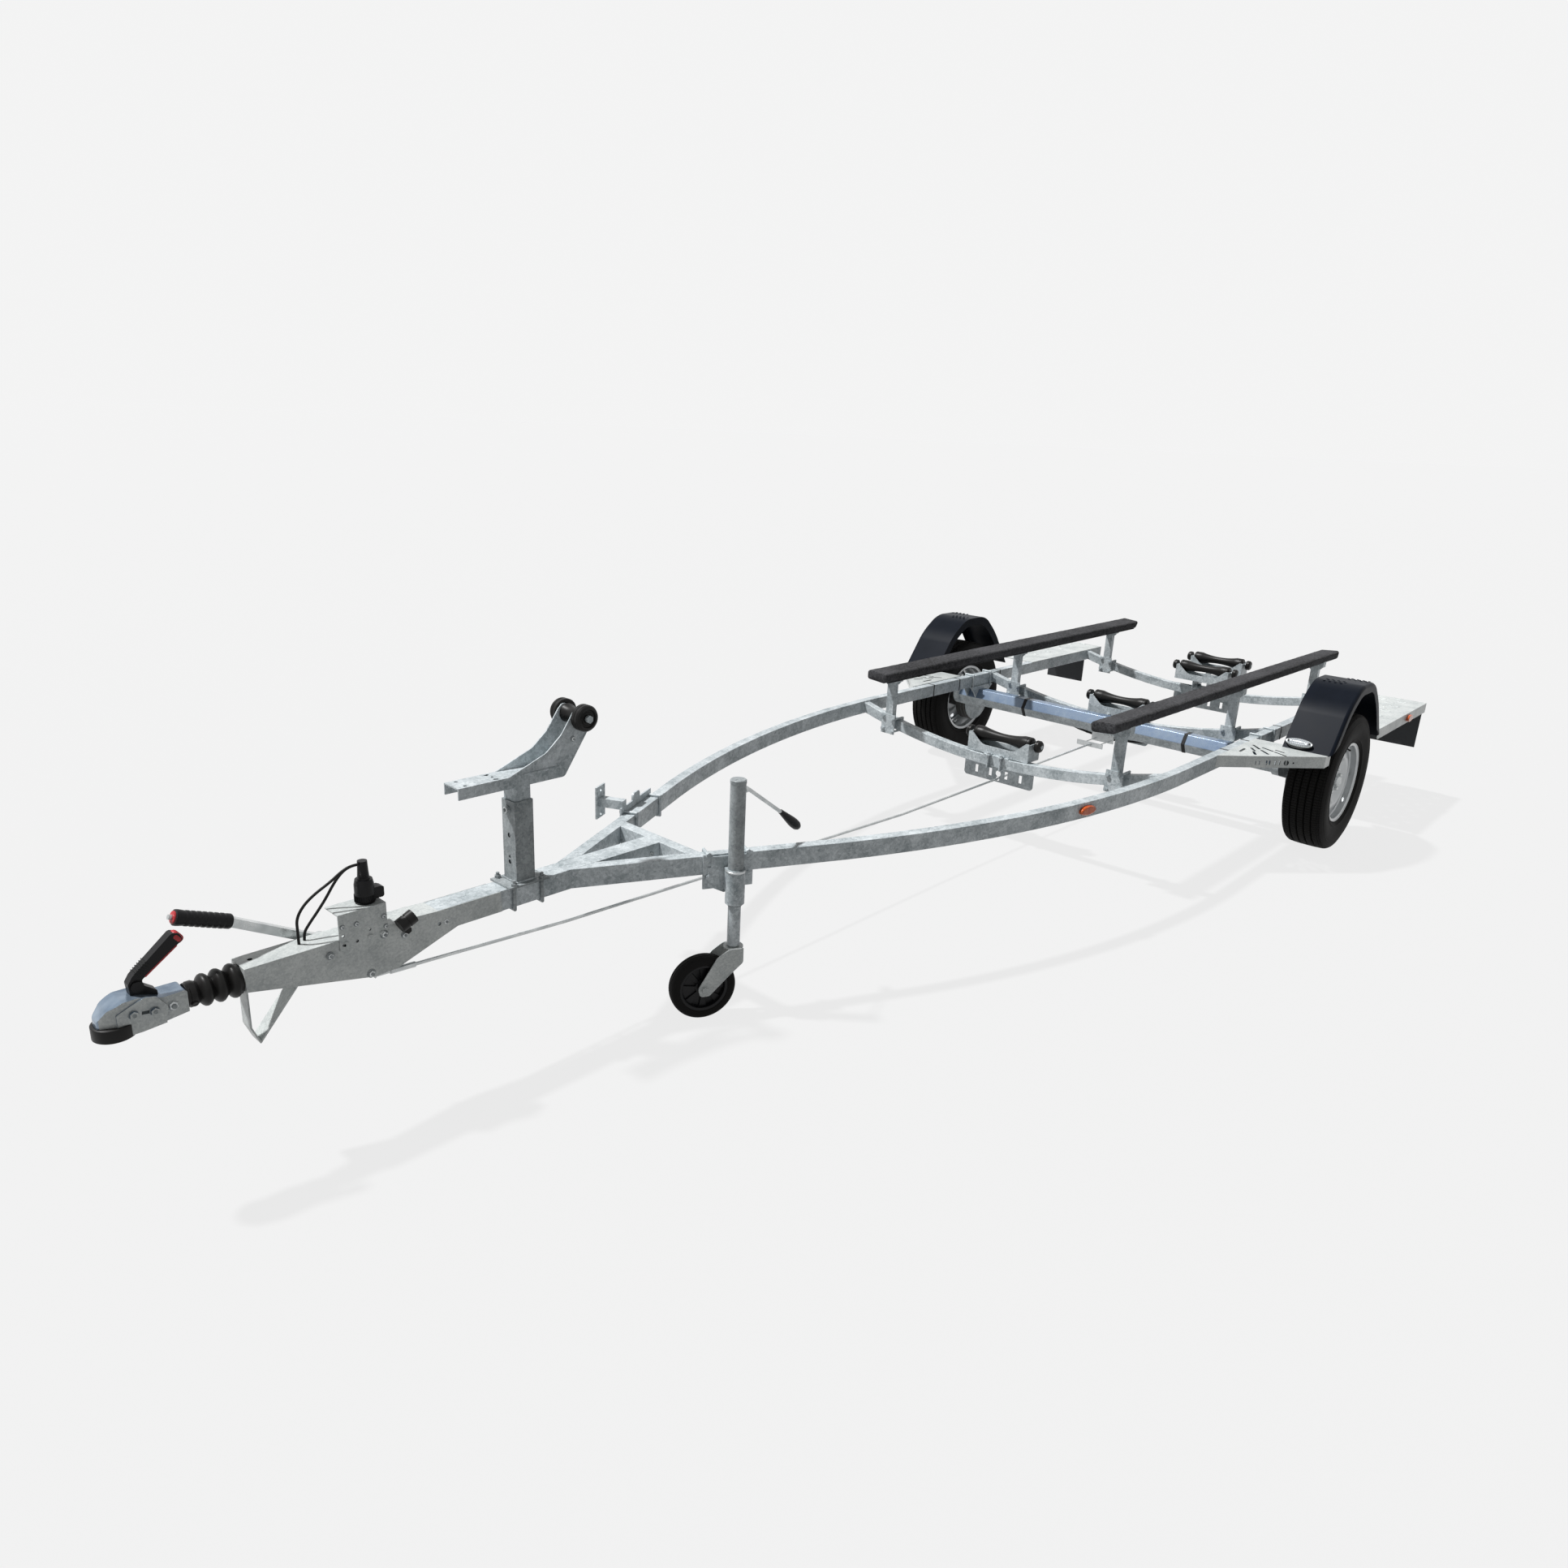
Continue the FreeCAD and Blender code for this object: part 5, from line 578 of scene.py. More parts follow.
# %% tyres
TYRE_HALF = [
    (67.7, 177.4), (68.4, 188.6), (76, 191.5), (79.5, 197), (83.5, 203), (86.2, 204.5), (86.8, 208),
    (85.4, 211), (87.4, 224), (91, 240), (93.2, 254), (93.8, 266), (93, 276), (91.6, 283), (92.4, 284.6),
    (92.2, 287), (90.8, 288.4), (89.4, 294), (86.6, 301), (82.8, 307.5), (77.6, 313), (70.5, 316.8),
    (49.5, 318.6), (48.4, 312), (44.6, 312), (43.4, 318.9), (18.6, 319.6), (17.5, 312.6), (13.6, 312.6),
    (12.5, 319.7),
]
BLOCKS_ROUND, BLOCK_GAP, BLOCK_LIFT = 150, 1.6, 2.2


def tyre(side, name):
    """One tyre with its tread blocks raised."""
    rings = mirrored(TYRE_HALF)
    piece = lathe("tyre_tread_" + name, rings + rings[:1], BLOCKS_ROUND)

    def on_rib(c, n):
        radius = math.hypot(c.x, c.y)
        return radius > 305 * MM and abs(n.z) < 0.86 and (n.x * c.x + n.y * c.y) > 0.3 * radius

    choose(piece, on_rib)
    bpy.ops.mesh.inset(thickness=BLOCK_GAP * MM, depth=BLOCK_LIFT * MM, use_individual=True)
    close_mesh()
    put(piece, along(at(0, side * HALF_TRACK, WHEEL_HEIGHT), LEFT))
    done(piece, TYRE_RUBBER, name + "_wheel", 28)
    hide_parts("tyre_" + name)


for side, name in SIDES:
    tyre(side, name)
print("two tyres of", len(TYRE_HALF) * 2, "rings")

# %% [markdown]
# ## Drilling and cutting
# A Boolean modifier takes one shape out of another, as a drill or a laser does, and can put one finish on
# the skin and another on the walls of the cut. Modifiers are applied at once, so that later steps find the
# real mesh.

# %% cutting tool
def modify(piece, kind, **settings):
    """Adds a modifier, sets it and applies it."""
    take(piece)
    modifier = piece.modifiers.new(kind.lower(), kind)
    for key, value in settings.items():
        setattr(modifier, key, value)
    bpy.ops.object.modifier_apply(modifier=modifier.name)


def cut(piece, cutter, finishes=()):
    """Cuts a shape out of a piece and drops the cutter. Two finishes go on the skin and the cut walls."""
    for shape, finish in zip((piece, cutter), finishes):
        coat(shape, finish)
    modify(piece, "BOOLEAN", material_mode="TRANSFER" if finishes else "INDEX", operation="DIFFERENCE",
           solver="EXACT", object=cutter)
    bpy.data.objects.remove(cutter)
    return piece


print("cutting tool ready")

# %% [markdown]
# ## Steel wheels, drums and hubs
# A steel road wheel is a rolled rim with a pressed disc welded in. The rim's lips curl over, the disc has a
# raised crown and a ring of vent holes, and five nuts hold it round a domed grease cap. Behind it sits the
# brake drum.

# %% wheels
RIM = [
    (-77, 186), (-75.6, 188), (-73.4, 188), (-71.6, 186), (-70, 179.5), (-67, 177), (-44, 176.6), (-38, 172),
    (-17, 159), (-12, 158), (14, 158), (19, 159), (38, 172), (44, 176.6), (67, 177), (70, 179.5),
    (71.6, 186), (73.4, 188), (75.6, 188), (77, 186), (76.4, 183.6), (74.4, 183), (73, 175), (70, 173),
    (45, 172.6), (40, 168.4), (20, 155), (15, 154), (-13, 154), (-18, 155), (-40, 168.4), (-45, 172.6),
    (-70, 173), (-73, 175), (-74.4, 183), (-76.4, 183.6), (-77, 186),
]
DISC = [
    (30, 32), (30, 82), (32, 86), (48, 104), (51, 108), (52, 113), (52, 124), (50.4, 130), (42, 160),
    (41, 168), (41, 173), (37, 173), (37, 166), (38, 158), (46.4, 128), (48, 123), (48, 113), (47, 109),
    (44, 105), (29, 88), (26, 84), (26, 32), (30, 32),
]
DRUM = [
    (-136, 17.6), (-136, 112), (-132, 116), (-126, 116), (-124, 113), (-112, 113), (-110, 116), (-80, 116),
    (-76, 112), (-74, 64), (-72, 60), (26, 56), (26, 17.6), (-136, 17.6),
]
GREASE_CAP = [
    (24, 20), (24, 31), (34, 31), (35, 30), (35, 27.4), (52, 27), (58, 24), (62, 18), (64, 8), (64, 0.4),
]
LUG_NUT = [(30, 9.6), (44, 9.6), (47, 8), (49, 5), (49.6, 0.6)]
VALVE = [(0, 5.5), (3, 5.5), (5, 4), (26, 3.4), (27, 4.2), (34, 4.2), (35.5, 3), (36, 0.5)]
VENTS, VENT_RING, NUTS, NUT_RING = 10, 147, 5, 56
VALVE_RING, VALVE_OUT = 164, 44


def hub_turn(side):
    """The wheel's own frame: Z points outwards on its side."""
    return along(at(0, side * HALF_TRACK, WHEEL_HEIGHT), (0, side, 0), UP)


def ring_of(piece, count, radius, start=0.0):
    """Repeats a piece round Z."""
    out = Matrix.Translation((radius * MM, 0, 0))
    angles = [math.tau * (k + start) / count for k in range(count)]
    return repeat(piece, [Matrix.Rotation(angle, 4, "Z") @ out for angle in angles])


def wheel(side, name):
    """The rim, disc, nuts, cap, drum and valve of one wheel."""
    body = name + "_wheel"
    disc = lathe("disc", DISC, 96)
    vent = lathe("vent", [(20, 9), (70, 9)], 20)
    put(vent, Matrix.Diagonal((1.0, 1.9, 1, 1)))
    disc = cut(disc, ring_of(vent, VENTS, VENT_RING, 0.5))
    shell = join("road_wheel_" + name, [lathe("rim", RIM, 96), disc])
    put(shell, hub_turn(side))
    done(shell, LACQUER, body, 32)

    nut = lathe("nuts", LUG_NUT, 6)
    seat = lathe("seat", [(30, 15), (31.5, 14), (32, 11), (32, 9)], 24)
    nuts = ring_of(join("nuts", [nut, seat]), NUTS, NUT_RING)
    small = join("wheel_nuts_and_cap_" + name, [nuts, lathe("cap", GREASE_CAP, 40)])
    put(small, hub_turn(side))
    done(small, ZINC, body)

    drum = lathe("brake_drum_" + name, DRUM, 72)
    put(drum, hub_turn(side))
    done(drum, CAST_IRON, body)

    stem = lathe("valve_stem_" + name, VALVE, 16)
    put(stem, hub_turn(side) @ along(Vector((VALVE_RING * MM, 0, VALVE_OUT * MM)), (-0.34, 0, 1)))
    done(stem, RUBBER, body)
    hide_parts("wheel_" + name)


for side, name in SIDES:
    wheel(side, name)
print("two wheels with drums, nuts and caps")

# %% [markdown]
# ## Mudguards
# The mudguards are vacuum-formed: a warm sheet is drawn over a mould, so all its corners come out round. A
# guard is made as a solid slab with the outline seen from the side. Its folds are rounded with bevel, its
# two side faces are inset to leave a band along the edge, everything inside and below is deleted, and
# Solidify gives the 4 mm sheet.

# %% mudguards
GUARD_LINE = [(385, 523), (243, 711), (118, 794), (-75, 794), (-195, 691), (-345, 494)]
GUARD_IN, GUARD_WIDE, SHEET = 935, 210, 4
FOLD_ROUND, BAND, EDGE_ROUND = 50, 42, 15
guard_front, guard_back = (at(x, 0, z) for x, z in (GUARD_LINE[0], GUARD_LINE[-1]))
chord = (guard_back - guard_front).normalized()


def above_chord(place):
    """Height over the line that joins the guard's two lower ends."""
    flat = place - guard_front
    flat.y = 0
    return (flat - chord * flat.dot(chord)).length


def formed_guard(side):
    """One mudguard, formed from sheet."""
    clear_choice()
    bpy.ops.mesh.primitive_circle_add(vertices=6, radius=1, fill_type="NGON")
    piece = bpy.context.object
    for point, (x, z) in zip(piece.data.vertices, GUARD_LINE):
        point.co = at(x, side * GUARD_IN, z)
    bpy.ops.object.mode_set(mode="EDIT")
    bpy.ops.mesh.select_all(action="SELECT")
    bpy.ops.mesh.extrude_region_move(TRANSFORM_OT_translate={"value": (0, side * GUARD_WIDE * MM, 0)})
    mend(piece)
    choose_edges(piece, lambda e: abs(e.verts[0].co.y - e.verts[1].co.y) > 0.2 and e.verts[0].co.z > 0.55)
    bpy.ops.mesh.bevel(offset=FOLD_ROUND * MM, segments=8, affect="EDGES")
    close_mesh()
    choose(piece, lambda c, n: abs(n.y) > 0.9)
    bpy.ops.mesh.inset(thickness=BAND * MM, depth=0)
    bpy.ops.mesh.delete(type="FACE")
    close_mesh()
    choose(piece, lambda c, n: above_chord(c) < 0.03 and (abs(n.y) > 0.9 or n.z < -0.9))
    bpy.ops.mesh.delete(type="FACE")
    close_mesh()
    outside = (GUARD_IN + GUARD_WIDE) * MM
    choose_edges(piece, lambda e: len(e.link_faces) == 2 and abs(abs(e.verts[0].co.y) - outside) < 0.001
                 and 0.9 < sum(abs(face.normal.y) for face in e.link_faces) < 1.1)
    bpy.ops.mesh.bevel(offset=EDGE_ROUND * MM, segments=6, affect="EDGES")
    close_mesh()
    modify(piece, "SOLIDIFY", thickness=SHEET * MM, offset=-1)
    return piece


def even_shading(piece):
    """Weighted Normal keeps big faces flat beside their rounded edges."""
    modify(piece, "WEIGHTED_NORMAL", keep_sharp=True)


guards = join("formed_mudguards", [formed_guard(1), formed_guard(-1)])
done(guards, GUARD_PLASTIC, "trailer", 40)
even_shading(guards)
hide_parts("mudguards")
print("guards of", len(guards.data.polygons), "faces")

# %% [markdown]
# ## Studs on the guards
# Small studs are moulded into the guards' tops, so that a wet foot grips. One is turned and repeated in
# offset rows, three towards the inside in front and three towards the outside behind. The rows next to a
# fold sink with its curve.

# %% studs
STUD_ROWS, STUD_OUT, STUD_STEP = (96, 76, 56, -14, -34, -54), 972, 24
GUARD_TOP = GUARD_LINE[2][1]
stud = lathe("guard_studs", [(-0.4, 6.2), (0.6, 6), (1.4, 4.6), (1.7, 2.4)], 14)
turns = []
for side in (1, -1):
    for row, x in enumerate(STUD_ROWS):
        for k in range(4):
            y = STUD_OUT + k * STUD_STEP + (STUD_STEP / 2 if row % 2 else 0) + (64 if row > 2 else 0)
            sink = max(x - 68, -25 - x, 0) ** 2 / 332
            turns.append(Matrix.Translation(at(x, side * y, GUARD_TOP - sink)) @ Matrix.Rotation(0.5, 4, "Z"))
done(repeat(stud, turns), GUARD_PLASTIC, "trailer", 40)
print(len(turns), "studs")

# %% [markdown]
# ## Perforated steps
# A laser cuts slots in the step plates before they are folded and dipped, which saves weight and lets water
# and mud through. In front they fan out from the rail; behind they run in rows with pressed-up rims, so
# shoes grip. Round-ended cutters are gathered into one shape and taken away from a copy of the plate in a
# single cut.

# %% steps
def slot_cutter(ends, half_width, low, high):
    """A round-ended cutter between two places on a plate."""
    a, b = (Vector(e) for e in ends)
    run = (b - a).length
    clear_choice()
    bpy.ops.mesh.primitive_cylinder_add(vertices=16, radius=half_width * MM, depth=(high - low) * MM)
    piece = bpy.context.object
    for point in piece.data.vertices:
        point.co.x += math.copysign(run / 2, point.co.x)
    middle = (a + b) / 2
    put(piece, along(Vector((middle.x, middle.y, (low + high) / 2 * MM)), UP, b - a))
    return piece


def twin_of(node, name):
    """A copy of a node's mesh to work on, its loose triangles merged and its flat faces made whole."""
    piece = linked(name, nodes[node].data.copy())
    open_mesh(piece)
    bpy.ops.mesh.remove_doubles(threshold=SAME_PLACE)
    bpy.ops.mesh.dissolve_limited(angle_limit=math.radians(1))
    close_mesh()
    return piece


FAN = [((622, 840), (565, 837)), ((526, 853), (559, 878)), ((579, 882), (619, 904)),
       ((468, 840), (512, 882)), ((529, 898), (568, 939)), ((478, 886), (502, 935)),
       ((511, 950), (537, 1002)), ((472, 941), (488, 976))]
LIP_HOLES = [(178, 3, 6), (195, 3, 6), (228, 3.4, 7), (242, 3.4, 7), (268, 3, 6), (287, 3, 6), (318, 12, 0),
             (350, 4, 0)]
cutters, bars = [], []
for side in (1, -1):
    for near, far in FAN:
        ends = [at(x, side * y, 0) for x, y in (near, far)]
        cutters.append(slot_cutter(ends, 6, 510, 535))
    lip = Vector((-370, 327 * side, 0)).normalized()
    out = Vector((327, 370 * side, 0)).normalized()
    for far, radius, reach in LIP_HOLES:
        hole = lathe("hole", [(-14, radius), (14, radius)], 20)
        for point in hole.data.vertices:
            point.co.x += math.copysign(reach * MM, point.co.x)
        place = at(775, side * 800, 494) + lip * far * MM
        cutters.append(put(hole, along(place, out, UP)))
        if radius > 10:
            bar = block("lip_bars", 26, 4, 2.4, 0.6, 1)
            bars.append(put(bar, along(place - out * 0.0016, out, UP)))
# The slots' walls take the dark grey of painted shade.
steps = cut(twin_of("front_steps", "perforated_front_steps"), join("cutters", cutters), (PLATED, CUT_WALL_SHADE))
done(steps, None, "trailer")
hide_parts("front_steps")
done(join("lip_bars", bars), PLATED, "trailer")
print("front steps cut,", len(FAN), "slots a side")

# %% rear steps
FIRST_SLOT, SLOT_STEP, SLOT_ROWS, PLATE_TOP = -1190, 150, (884, 940, 996, 1040), 523
SLOT_REACH = Vector((0, 0.011, 0))
SLOT_RIM = [(-0.5, 14.2), (0.4, 13.4), (1.9, 10.8), (2.6, 8.6), (2.3, 6.8), (1, 5.4), (-0.5, 5), (-0.5, 14.2)]
cutters, rims = [], []
for side in (1, -1):
    for row, y in enumerate(SLOT_ROWS):
        for k in range(6 - row % 2):
            x = FIRST_SLOT + k * SLOT_STEP + (SLOT_STEP / 2 if row % 2 else 0)
            place = at(x, side * y, 0)
            ends = [place - SLOT_REACH, place + SLOT_REACH]
            cutters.append(slot_cutter(ends, 5, 510, 540))
            rims.append(Matrix.Translation(at(x, side * y, PLATE_TOP)))
# The slots' walls take the dark grey of painted shade.
plates = cut(twin_of("rear_steps", "walkway_plates"), join("cutters", cutters), (PLATED, CUT_WALL_SHADE))
done(plates, None, "trailer")
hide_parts("rear_steps")
rim = lathe("slot_rims", SLOT_RIM, 20)
for point in rim.data.vertices:
    point.co.y += math.copysign(SLOT_REACH.y, point.co.y)
done(repeat(rim, rims), PLATED, "trailer", 50)
print("rear steps cut,", len(cutters), "slots")

# %% [markdown]
# ## Keel rollers
# A keel roller is a spool of rubber with a hollow waist, so that the keel finds its middle. It has a groove
# near each end, and a round cap sits outside each ear of its cradle. The spool is turned: its waist is part
# of a circle, worked out from its width at the middle and at the shoulder. The second cap is the first one
# turned over.

# %% keel rollers
ROLLER_HALF, WAIST, FULL = 145, 20, 33
SHOULDER = ROLLER_HALF * 0.72
BEND = (SHOULDER ** 2 + (FULL - WAIST) ** 2) / (2 * (FULL - WAIST))
ROLLER_END = [(ROLLER_HALF - back, FULL - less) for back, less in (
    (0, 20), (0, 5.5), (2, 2), (5.5, 0), (14, 0), (15.5, 1.6), (18, 1.6), (19.5, 0))]
BELL = [(165, 10), (165, 25.5), (167, 27), (173, 27), (174, 26), (176, 26), (177, 27), (181, 27), (188, 22),
        (189, 18), (189, 10)]


def middle_of(node):
    """The middle of a node's box."""
    low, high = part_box(node)
    return (low + high) / 2


def keel_roller(place):
    """One roller with its two end caps."""
    hollow = [-SHOULDER + 2 * SHOULDER * step / 24 for step in range(25)]
    waist = [(y, WAIST + BEND - math.sqrt(BEND ** 2 - y ** 2)) for y in hollow]
    parts = [lathe("roller", mirrored(ROLLER_END, waist), 56)]
    for turn in (0, math.pi):
        parts.append(put(lathe("bell", BELL, 40), Matrix.Rotation(turn, 4, "X")))
    rubber = join("moulded_roller_" + place, parts)
    middle = middle_of("keel_roller_" + place)
    put(rubber, along(Vector((middle.x, 0, middle.z)), LEFT))
    done(rubber, RUBBER, place + "_keel_roller")
    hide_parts("keel_roller_" + place)


for place in ("front", "middle", "rear", "last"):
    keel_roller(place)
print("four rollers")

# %% [markdown]
# ## The bow roller
# Two thick discs stand outside the cheeks and a spool between them. The discs are moulded with a dished face
# and a raised ring round the pin.

# %% bow roller
BOW_DISC = [(36, 9), (36, 35), (38, 38), (48, 38), (49.5, 36.8), (51, 36.8), (52.5, 38), (59, 38), (64, 35),
            (67, 29), (65.5, 26), (62, 24), (62, 20), (64, 18.5), (64, 15), (62.5, 13), (62.5, 9), (36, 9)]
BOW_SPOOL = mirrored([(30, 9), (30, 27), (26, 26.4), (14, 22)], [(0, 21)]) + [(-30, 9)]
disc = lathe("disc", BOW_DISC, 56)
other = put(linked("disc", disc.data.copy()), Matrix.Rotation(math.pi, 4, "X"))
spool = lathe("spool", BOW_SPOOL, 48)
bow = join("moulded_bow_roller", [disc, other, spool])
put(bow, along(middle_of("bow_roller"), LEFT))
done(bow, RUBBER, "bow_spool")
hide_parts("bow_roller")
print("bow roller at", [round(v, 3) for v in middle_of("bow_roller")])

# %% [markdown]
# ## Bellows
# The bellows hide the coupling's shaft. Real folds are round at the crest and sharp in the valley, and a
# smooth collar with a small button holds them to the head. Both are turned, and each fold repeats one short
# list of steps from its start and its crest.

# %% bellows
rings = [(0, 12), (0, 33), (2, 36)]
for start, crest in ((4, 41.5), (36, 40), (66, 38.5)):
    rings += [(start + on, crest - less) for on, less in (
        (2, 5), (6, 1.4), (11, 0), (16, 1.4), (20, 5), (24, 11), (26, 13), (28, 12))]
rings += [(99, 29), (101, 30.4), (112, 30.4), (113, 28.6), (118, 28.6), (119.4, 27.6), (119.8, 12)]
bellows = lathe("folded_bellows", rings, 56)
put(bellows, along(at(4482.2, 0, 486), FRONT))
done(bellows, RUBBER, "trailer", 35)
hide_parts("bellows")
button = lathe("collar_button", [(27, 8), (31.6, 8), (33, 6.6), (33, 3), (32.4, 0.5)], 20)
put(button, along(at(4589, 0, 486), (0, 1, -0.5)))
done(button, RUBBER, "trailer", 40)
print("bellows with three folds")

# %% [markdown]
# ## The nose boot
# A thick rubber lip is stretched round the coupling's open end, to save the towing car's bumper from its
# edge. A copy of the plain boot is made lower, as the real lip sits below the cup, and its rims are rolled
# over.

# %% nose boot
BOOT_FOOT, HEIGHT_SHARE = 0.446, 0.76
boot = twin_of("nose_boot", "rolled_nose_boot")
for point in boot.data.vertices:
    point.co.z = BOOT_FOOT + (point.co.z - BOOT_FOOT) * HEIGHT_SHARE
modify(boot, "BEVEL", width=4 * MM, segments=3, angle_limit=math.radians(40))
done(boot, RUBBER, "trailer", 40)
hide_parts("nose_boot")
print("boot rolled")

# %% [markdown]
# ## Grips
# Where a hand holds, the steel is sleeved in plastic. The handbrake's grip has finger ridges and a red ring
# at its end, the crank ends in a black pear, and the coupling's lever has cross ribs at its root and red
# along its edge and at its tip. The round ones are turned along the grip's own line, and the lever's are
# rounded blocks.

# %% grips
bend, tip = at(4470, -58, 608), at(4584, -58, 653)
run = (tip - bend).length / MM
rings = [(-6, 12), (-5, 16.5), (-2, 18.2), (6, 18.2)]
for ridge in range(7):
    start = 12 + ridge * 13
    rings += [(start, 17.5), (start + 2, 18.6), (start + 8, 18.6), (start + 10, 17.5)]
rings += [(run - 14, 18.6), (run - 6, 19.2), (run - 1, 18.6), (run + 0.6, 16), (run + 0.6, 8)]
sleeve = lathe("handbrake_sleeve", rings, 36)
put(sleeve, along(bend, tip - bend))
done(sleeve, HARD_PLASTIC, "trailer", 35)
rings = [(run + 0.4, 8), (run + 0.4, 15), (run + 3, 14.4), (run + 4, 12), (run + 4, 6.4)]
ring = lathe("release_ring", rings, 36)
put(ring, along(bend, tip - bend))
done(ring, RED_PLASTIC, "trailer", 35)
print("handbrake grip", round(run), "mm long")

# %% the crank's pear
wrist, end = at(2948, 0, 624), at(2862, 0, 553)
wrist.y = end.y = middle_of("jockey_crank").y
run = (end - wrist).length / MM
pear_shares = [(0.3, 11.8), (0.6, 15.6), (0.75, 16.2), (0.88, 15.2), (0.97, 11), (1.01, 5), (1.015, 0.5)]
rings = [(-2, 6.4), (-2, 8), (4, 8.4)] + [(run * share, r) for share, r in pear_shares]
pear = lathe("crank_pear", rings, 32)
put(pear, along(wrist, end - wrist))
done(pear, HARD_PLASTIC, "trailer", 40)
print("crank's pear", round(run), "mm long")

# %% ribs and red tip of the coupling's lever
root, head = at(4701, 0, 572), at(4613, 0, 648)
rise = (head - root).normalized()
normal = Vector((-rise.z, 0, rise.x))
normal *= math.copysign(1, normal.z)
rib = block("lever_ribs", 2.4, 26, 15, 0.8, 2)
lean = along((0, 0, 0), normal, rise)
ribs = [Matrix.Translation(root + rise * (0.009 + 0.006 * k) - normal * 0.0052) @ lean for k in range(6)]
done(repeat(rib, ribs), HARD_PLASTIC, "trailer")
LEVER_OUT, LEVER_UP = (0.598, 0, 0.801), (-0.801, 0, 0.598)
red_tip = block("lever_red_tip", 22, 25, 31, 9, 5)
put(red_tip, along(at(4602.5, 0, 632.5), LEVER_OUT, LEVER_UP))
stripe = block("stripe", 88, 24.7, 4, 1.2, 2)
put(stripe, along(at(4640.5, 0, 590.5), LEVER_OUT, LEVER_UP))
done(join("lever_red_tip", [red_tip, stripe]), RED_PLASTIC, "trailer", 40)
print("lever ribbed and tipped")

# %% [markdown]
# ## Jockey wheel
# The small wheel is a nylon centre with a solid rubber tyre. The centre is turned with a web; then the web's
# faces are inset and pushed in, a group at a time, which leaves spokes standing between pockets.

# %% jockey wheel
pivot, centre = middle_of("jockey_leg"), middle_of("jockey_wheel")
trail = Vector((centre.x - pivot.x, centre.y - pivot.y, 0)).normalized()
axle = Vector((-trail.y, trail.x, 0))
print("jockey wheel trails towards", [round(v, 3) for v in trail], "at height", round(centre.z / MM))
JOCKEY_TYRE = [(17, 76), (22, 77), (24, 80), (24, 90), (23, 95), (20, 100), (15, 103.4), (9, 104.6),
               (7.6, 103.4), (6, 103.4), (4.6, 104.9)]
rings = mirrored(JOCKEY_TYRE, [(0, 105)]) + [(17, 70), (-17, 70), (-17, 76)]
solid_tyre = lathe("jockey_tyre", rings, 72)
put(solid_tyre, along(centre, axle))
done(solid_tyre, TYRE_RUBBER, "jockey_roller")
JOCKEY_HUB = [(24, 8.2), (24, 15), (22, 17), (10, 18), (9, 24), (9, 66), (19, 68), (21, 70), (21, 76.4)]
hub = lathe("jockey_centre", mirrored(JOCKEY_HUB) + [(-24, 8.2)], 72)


def web_pocket(c, n):
    """Tells a face of the centre's web that lies between two spokes."""
    turn = math.degrees(math.atan2(c.y, c.x)) % 45
    return abs(n.z) > 0.9 and 0.03 < math.hypot(c.x, c.y) < 0.062 and 8 < turn < 37


choose(hub, web_pocket)
bpy.ops.mesh.inset(thickness=0.0015, depth=-0.005)
close_mesh()
put(hub, along(centre, axle))
done(hub, HARD_PLASTIC, "jockey_roller")
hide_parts("jockey_wheel")
print("jockey wheel with 8 spokes")

# %% [markdown]
# ## The jockey tube's cap and clamp bolt
# A pressed cap closes the tube that the jockey wheel's leg slides in, and a bent rod clamps the tube to its
# plate. Both are turned about the tube's own axis, and take their width from the plain tube's box, so they
# fit it closely.

# %% jockey tube's cap and clamp bolt
low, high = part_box("jockey_tube")
tube, radius = (low + high) / 2, (high.x - low.x) / 2 / MM
rings = [(-11, radius), (-11, radius + 1), (-1.5, radius + 1), (0.8, radius - 1.5), (1, 0.5)]
cap = lathe("jockey_cap", rings, 36)
put(cap, Matrix.Translation(Vector((tube.x, tube.y, high.z))))
done(cap, DARK_STEEL, "trailer", 35)
WIRE, CLAMP_HEIGHT = 4, 480
turns = [math.tau * k / 10 for k in range(10)]
loop = [(CLAMP_HEIGHT + WIRE * math.sin(turn), radius + 4.2 + WIRE * math.cos(turn)) for turn in turns]
loop.append(loop[0])
u_bolt = lathe("clamp_u_bolt", loop, 40)
put(u_bolt, Matrix.Translation(Vector((tube.x, tube.y, 0))))
done(u_bolt, ZINC, "trailer", 60)
print("jockey tube", round(radius * 2), "mm across, capped at", round(high.z / MM))

# %% [markdown]
# ## Lamps
# The front lamps are an oval glass in a bright rim, on a black foot with two screws. A turned lens is drawn
# out to an oval for each. A tail lamp is red with four raised fields: amber above on the outside, red above
# on the inside, and two clear ones below. They are rounded blocks let into the lamp's face.

# %% lamps
def oval(name, place, axis, toward, half_length, half_height, rings, material):
    """A turned lens drawn out to an oval."""
    piece = lathe(name, rings, 48)
    put(piece, Matrix.Diagonal((half_length / 30, half_height / 30, 1, 1)))
    put(piece, along(place, axis, toward))
    return done(piece, material, "trailer", 40)


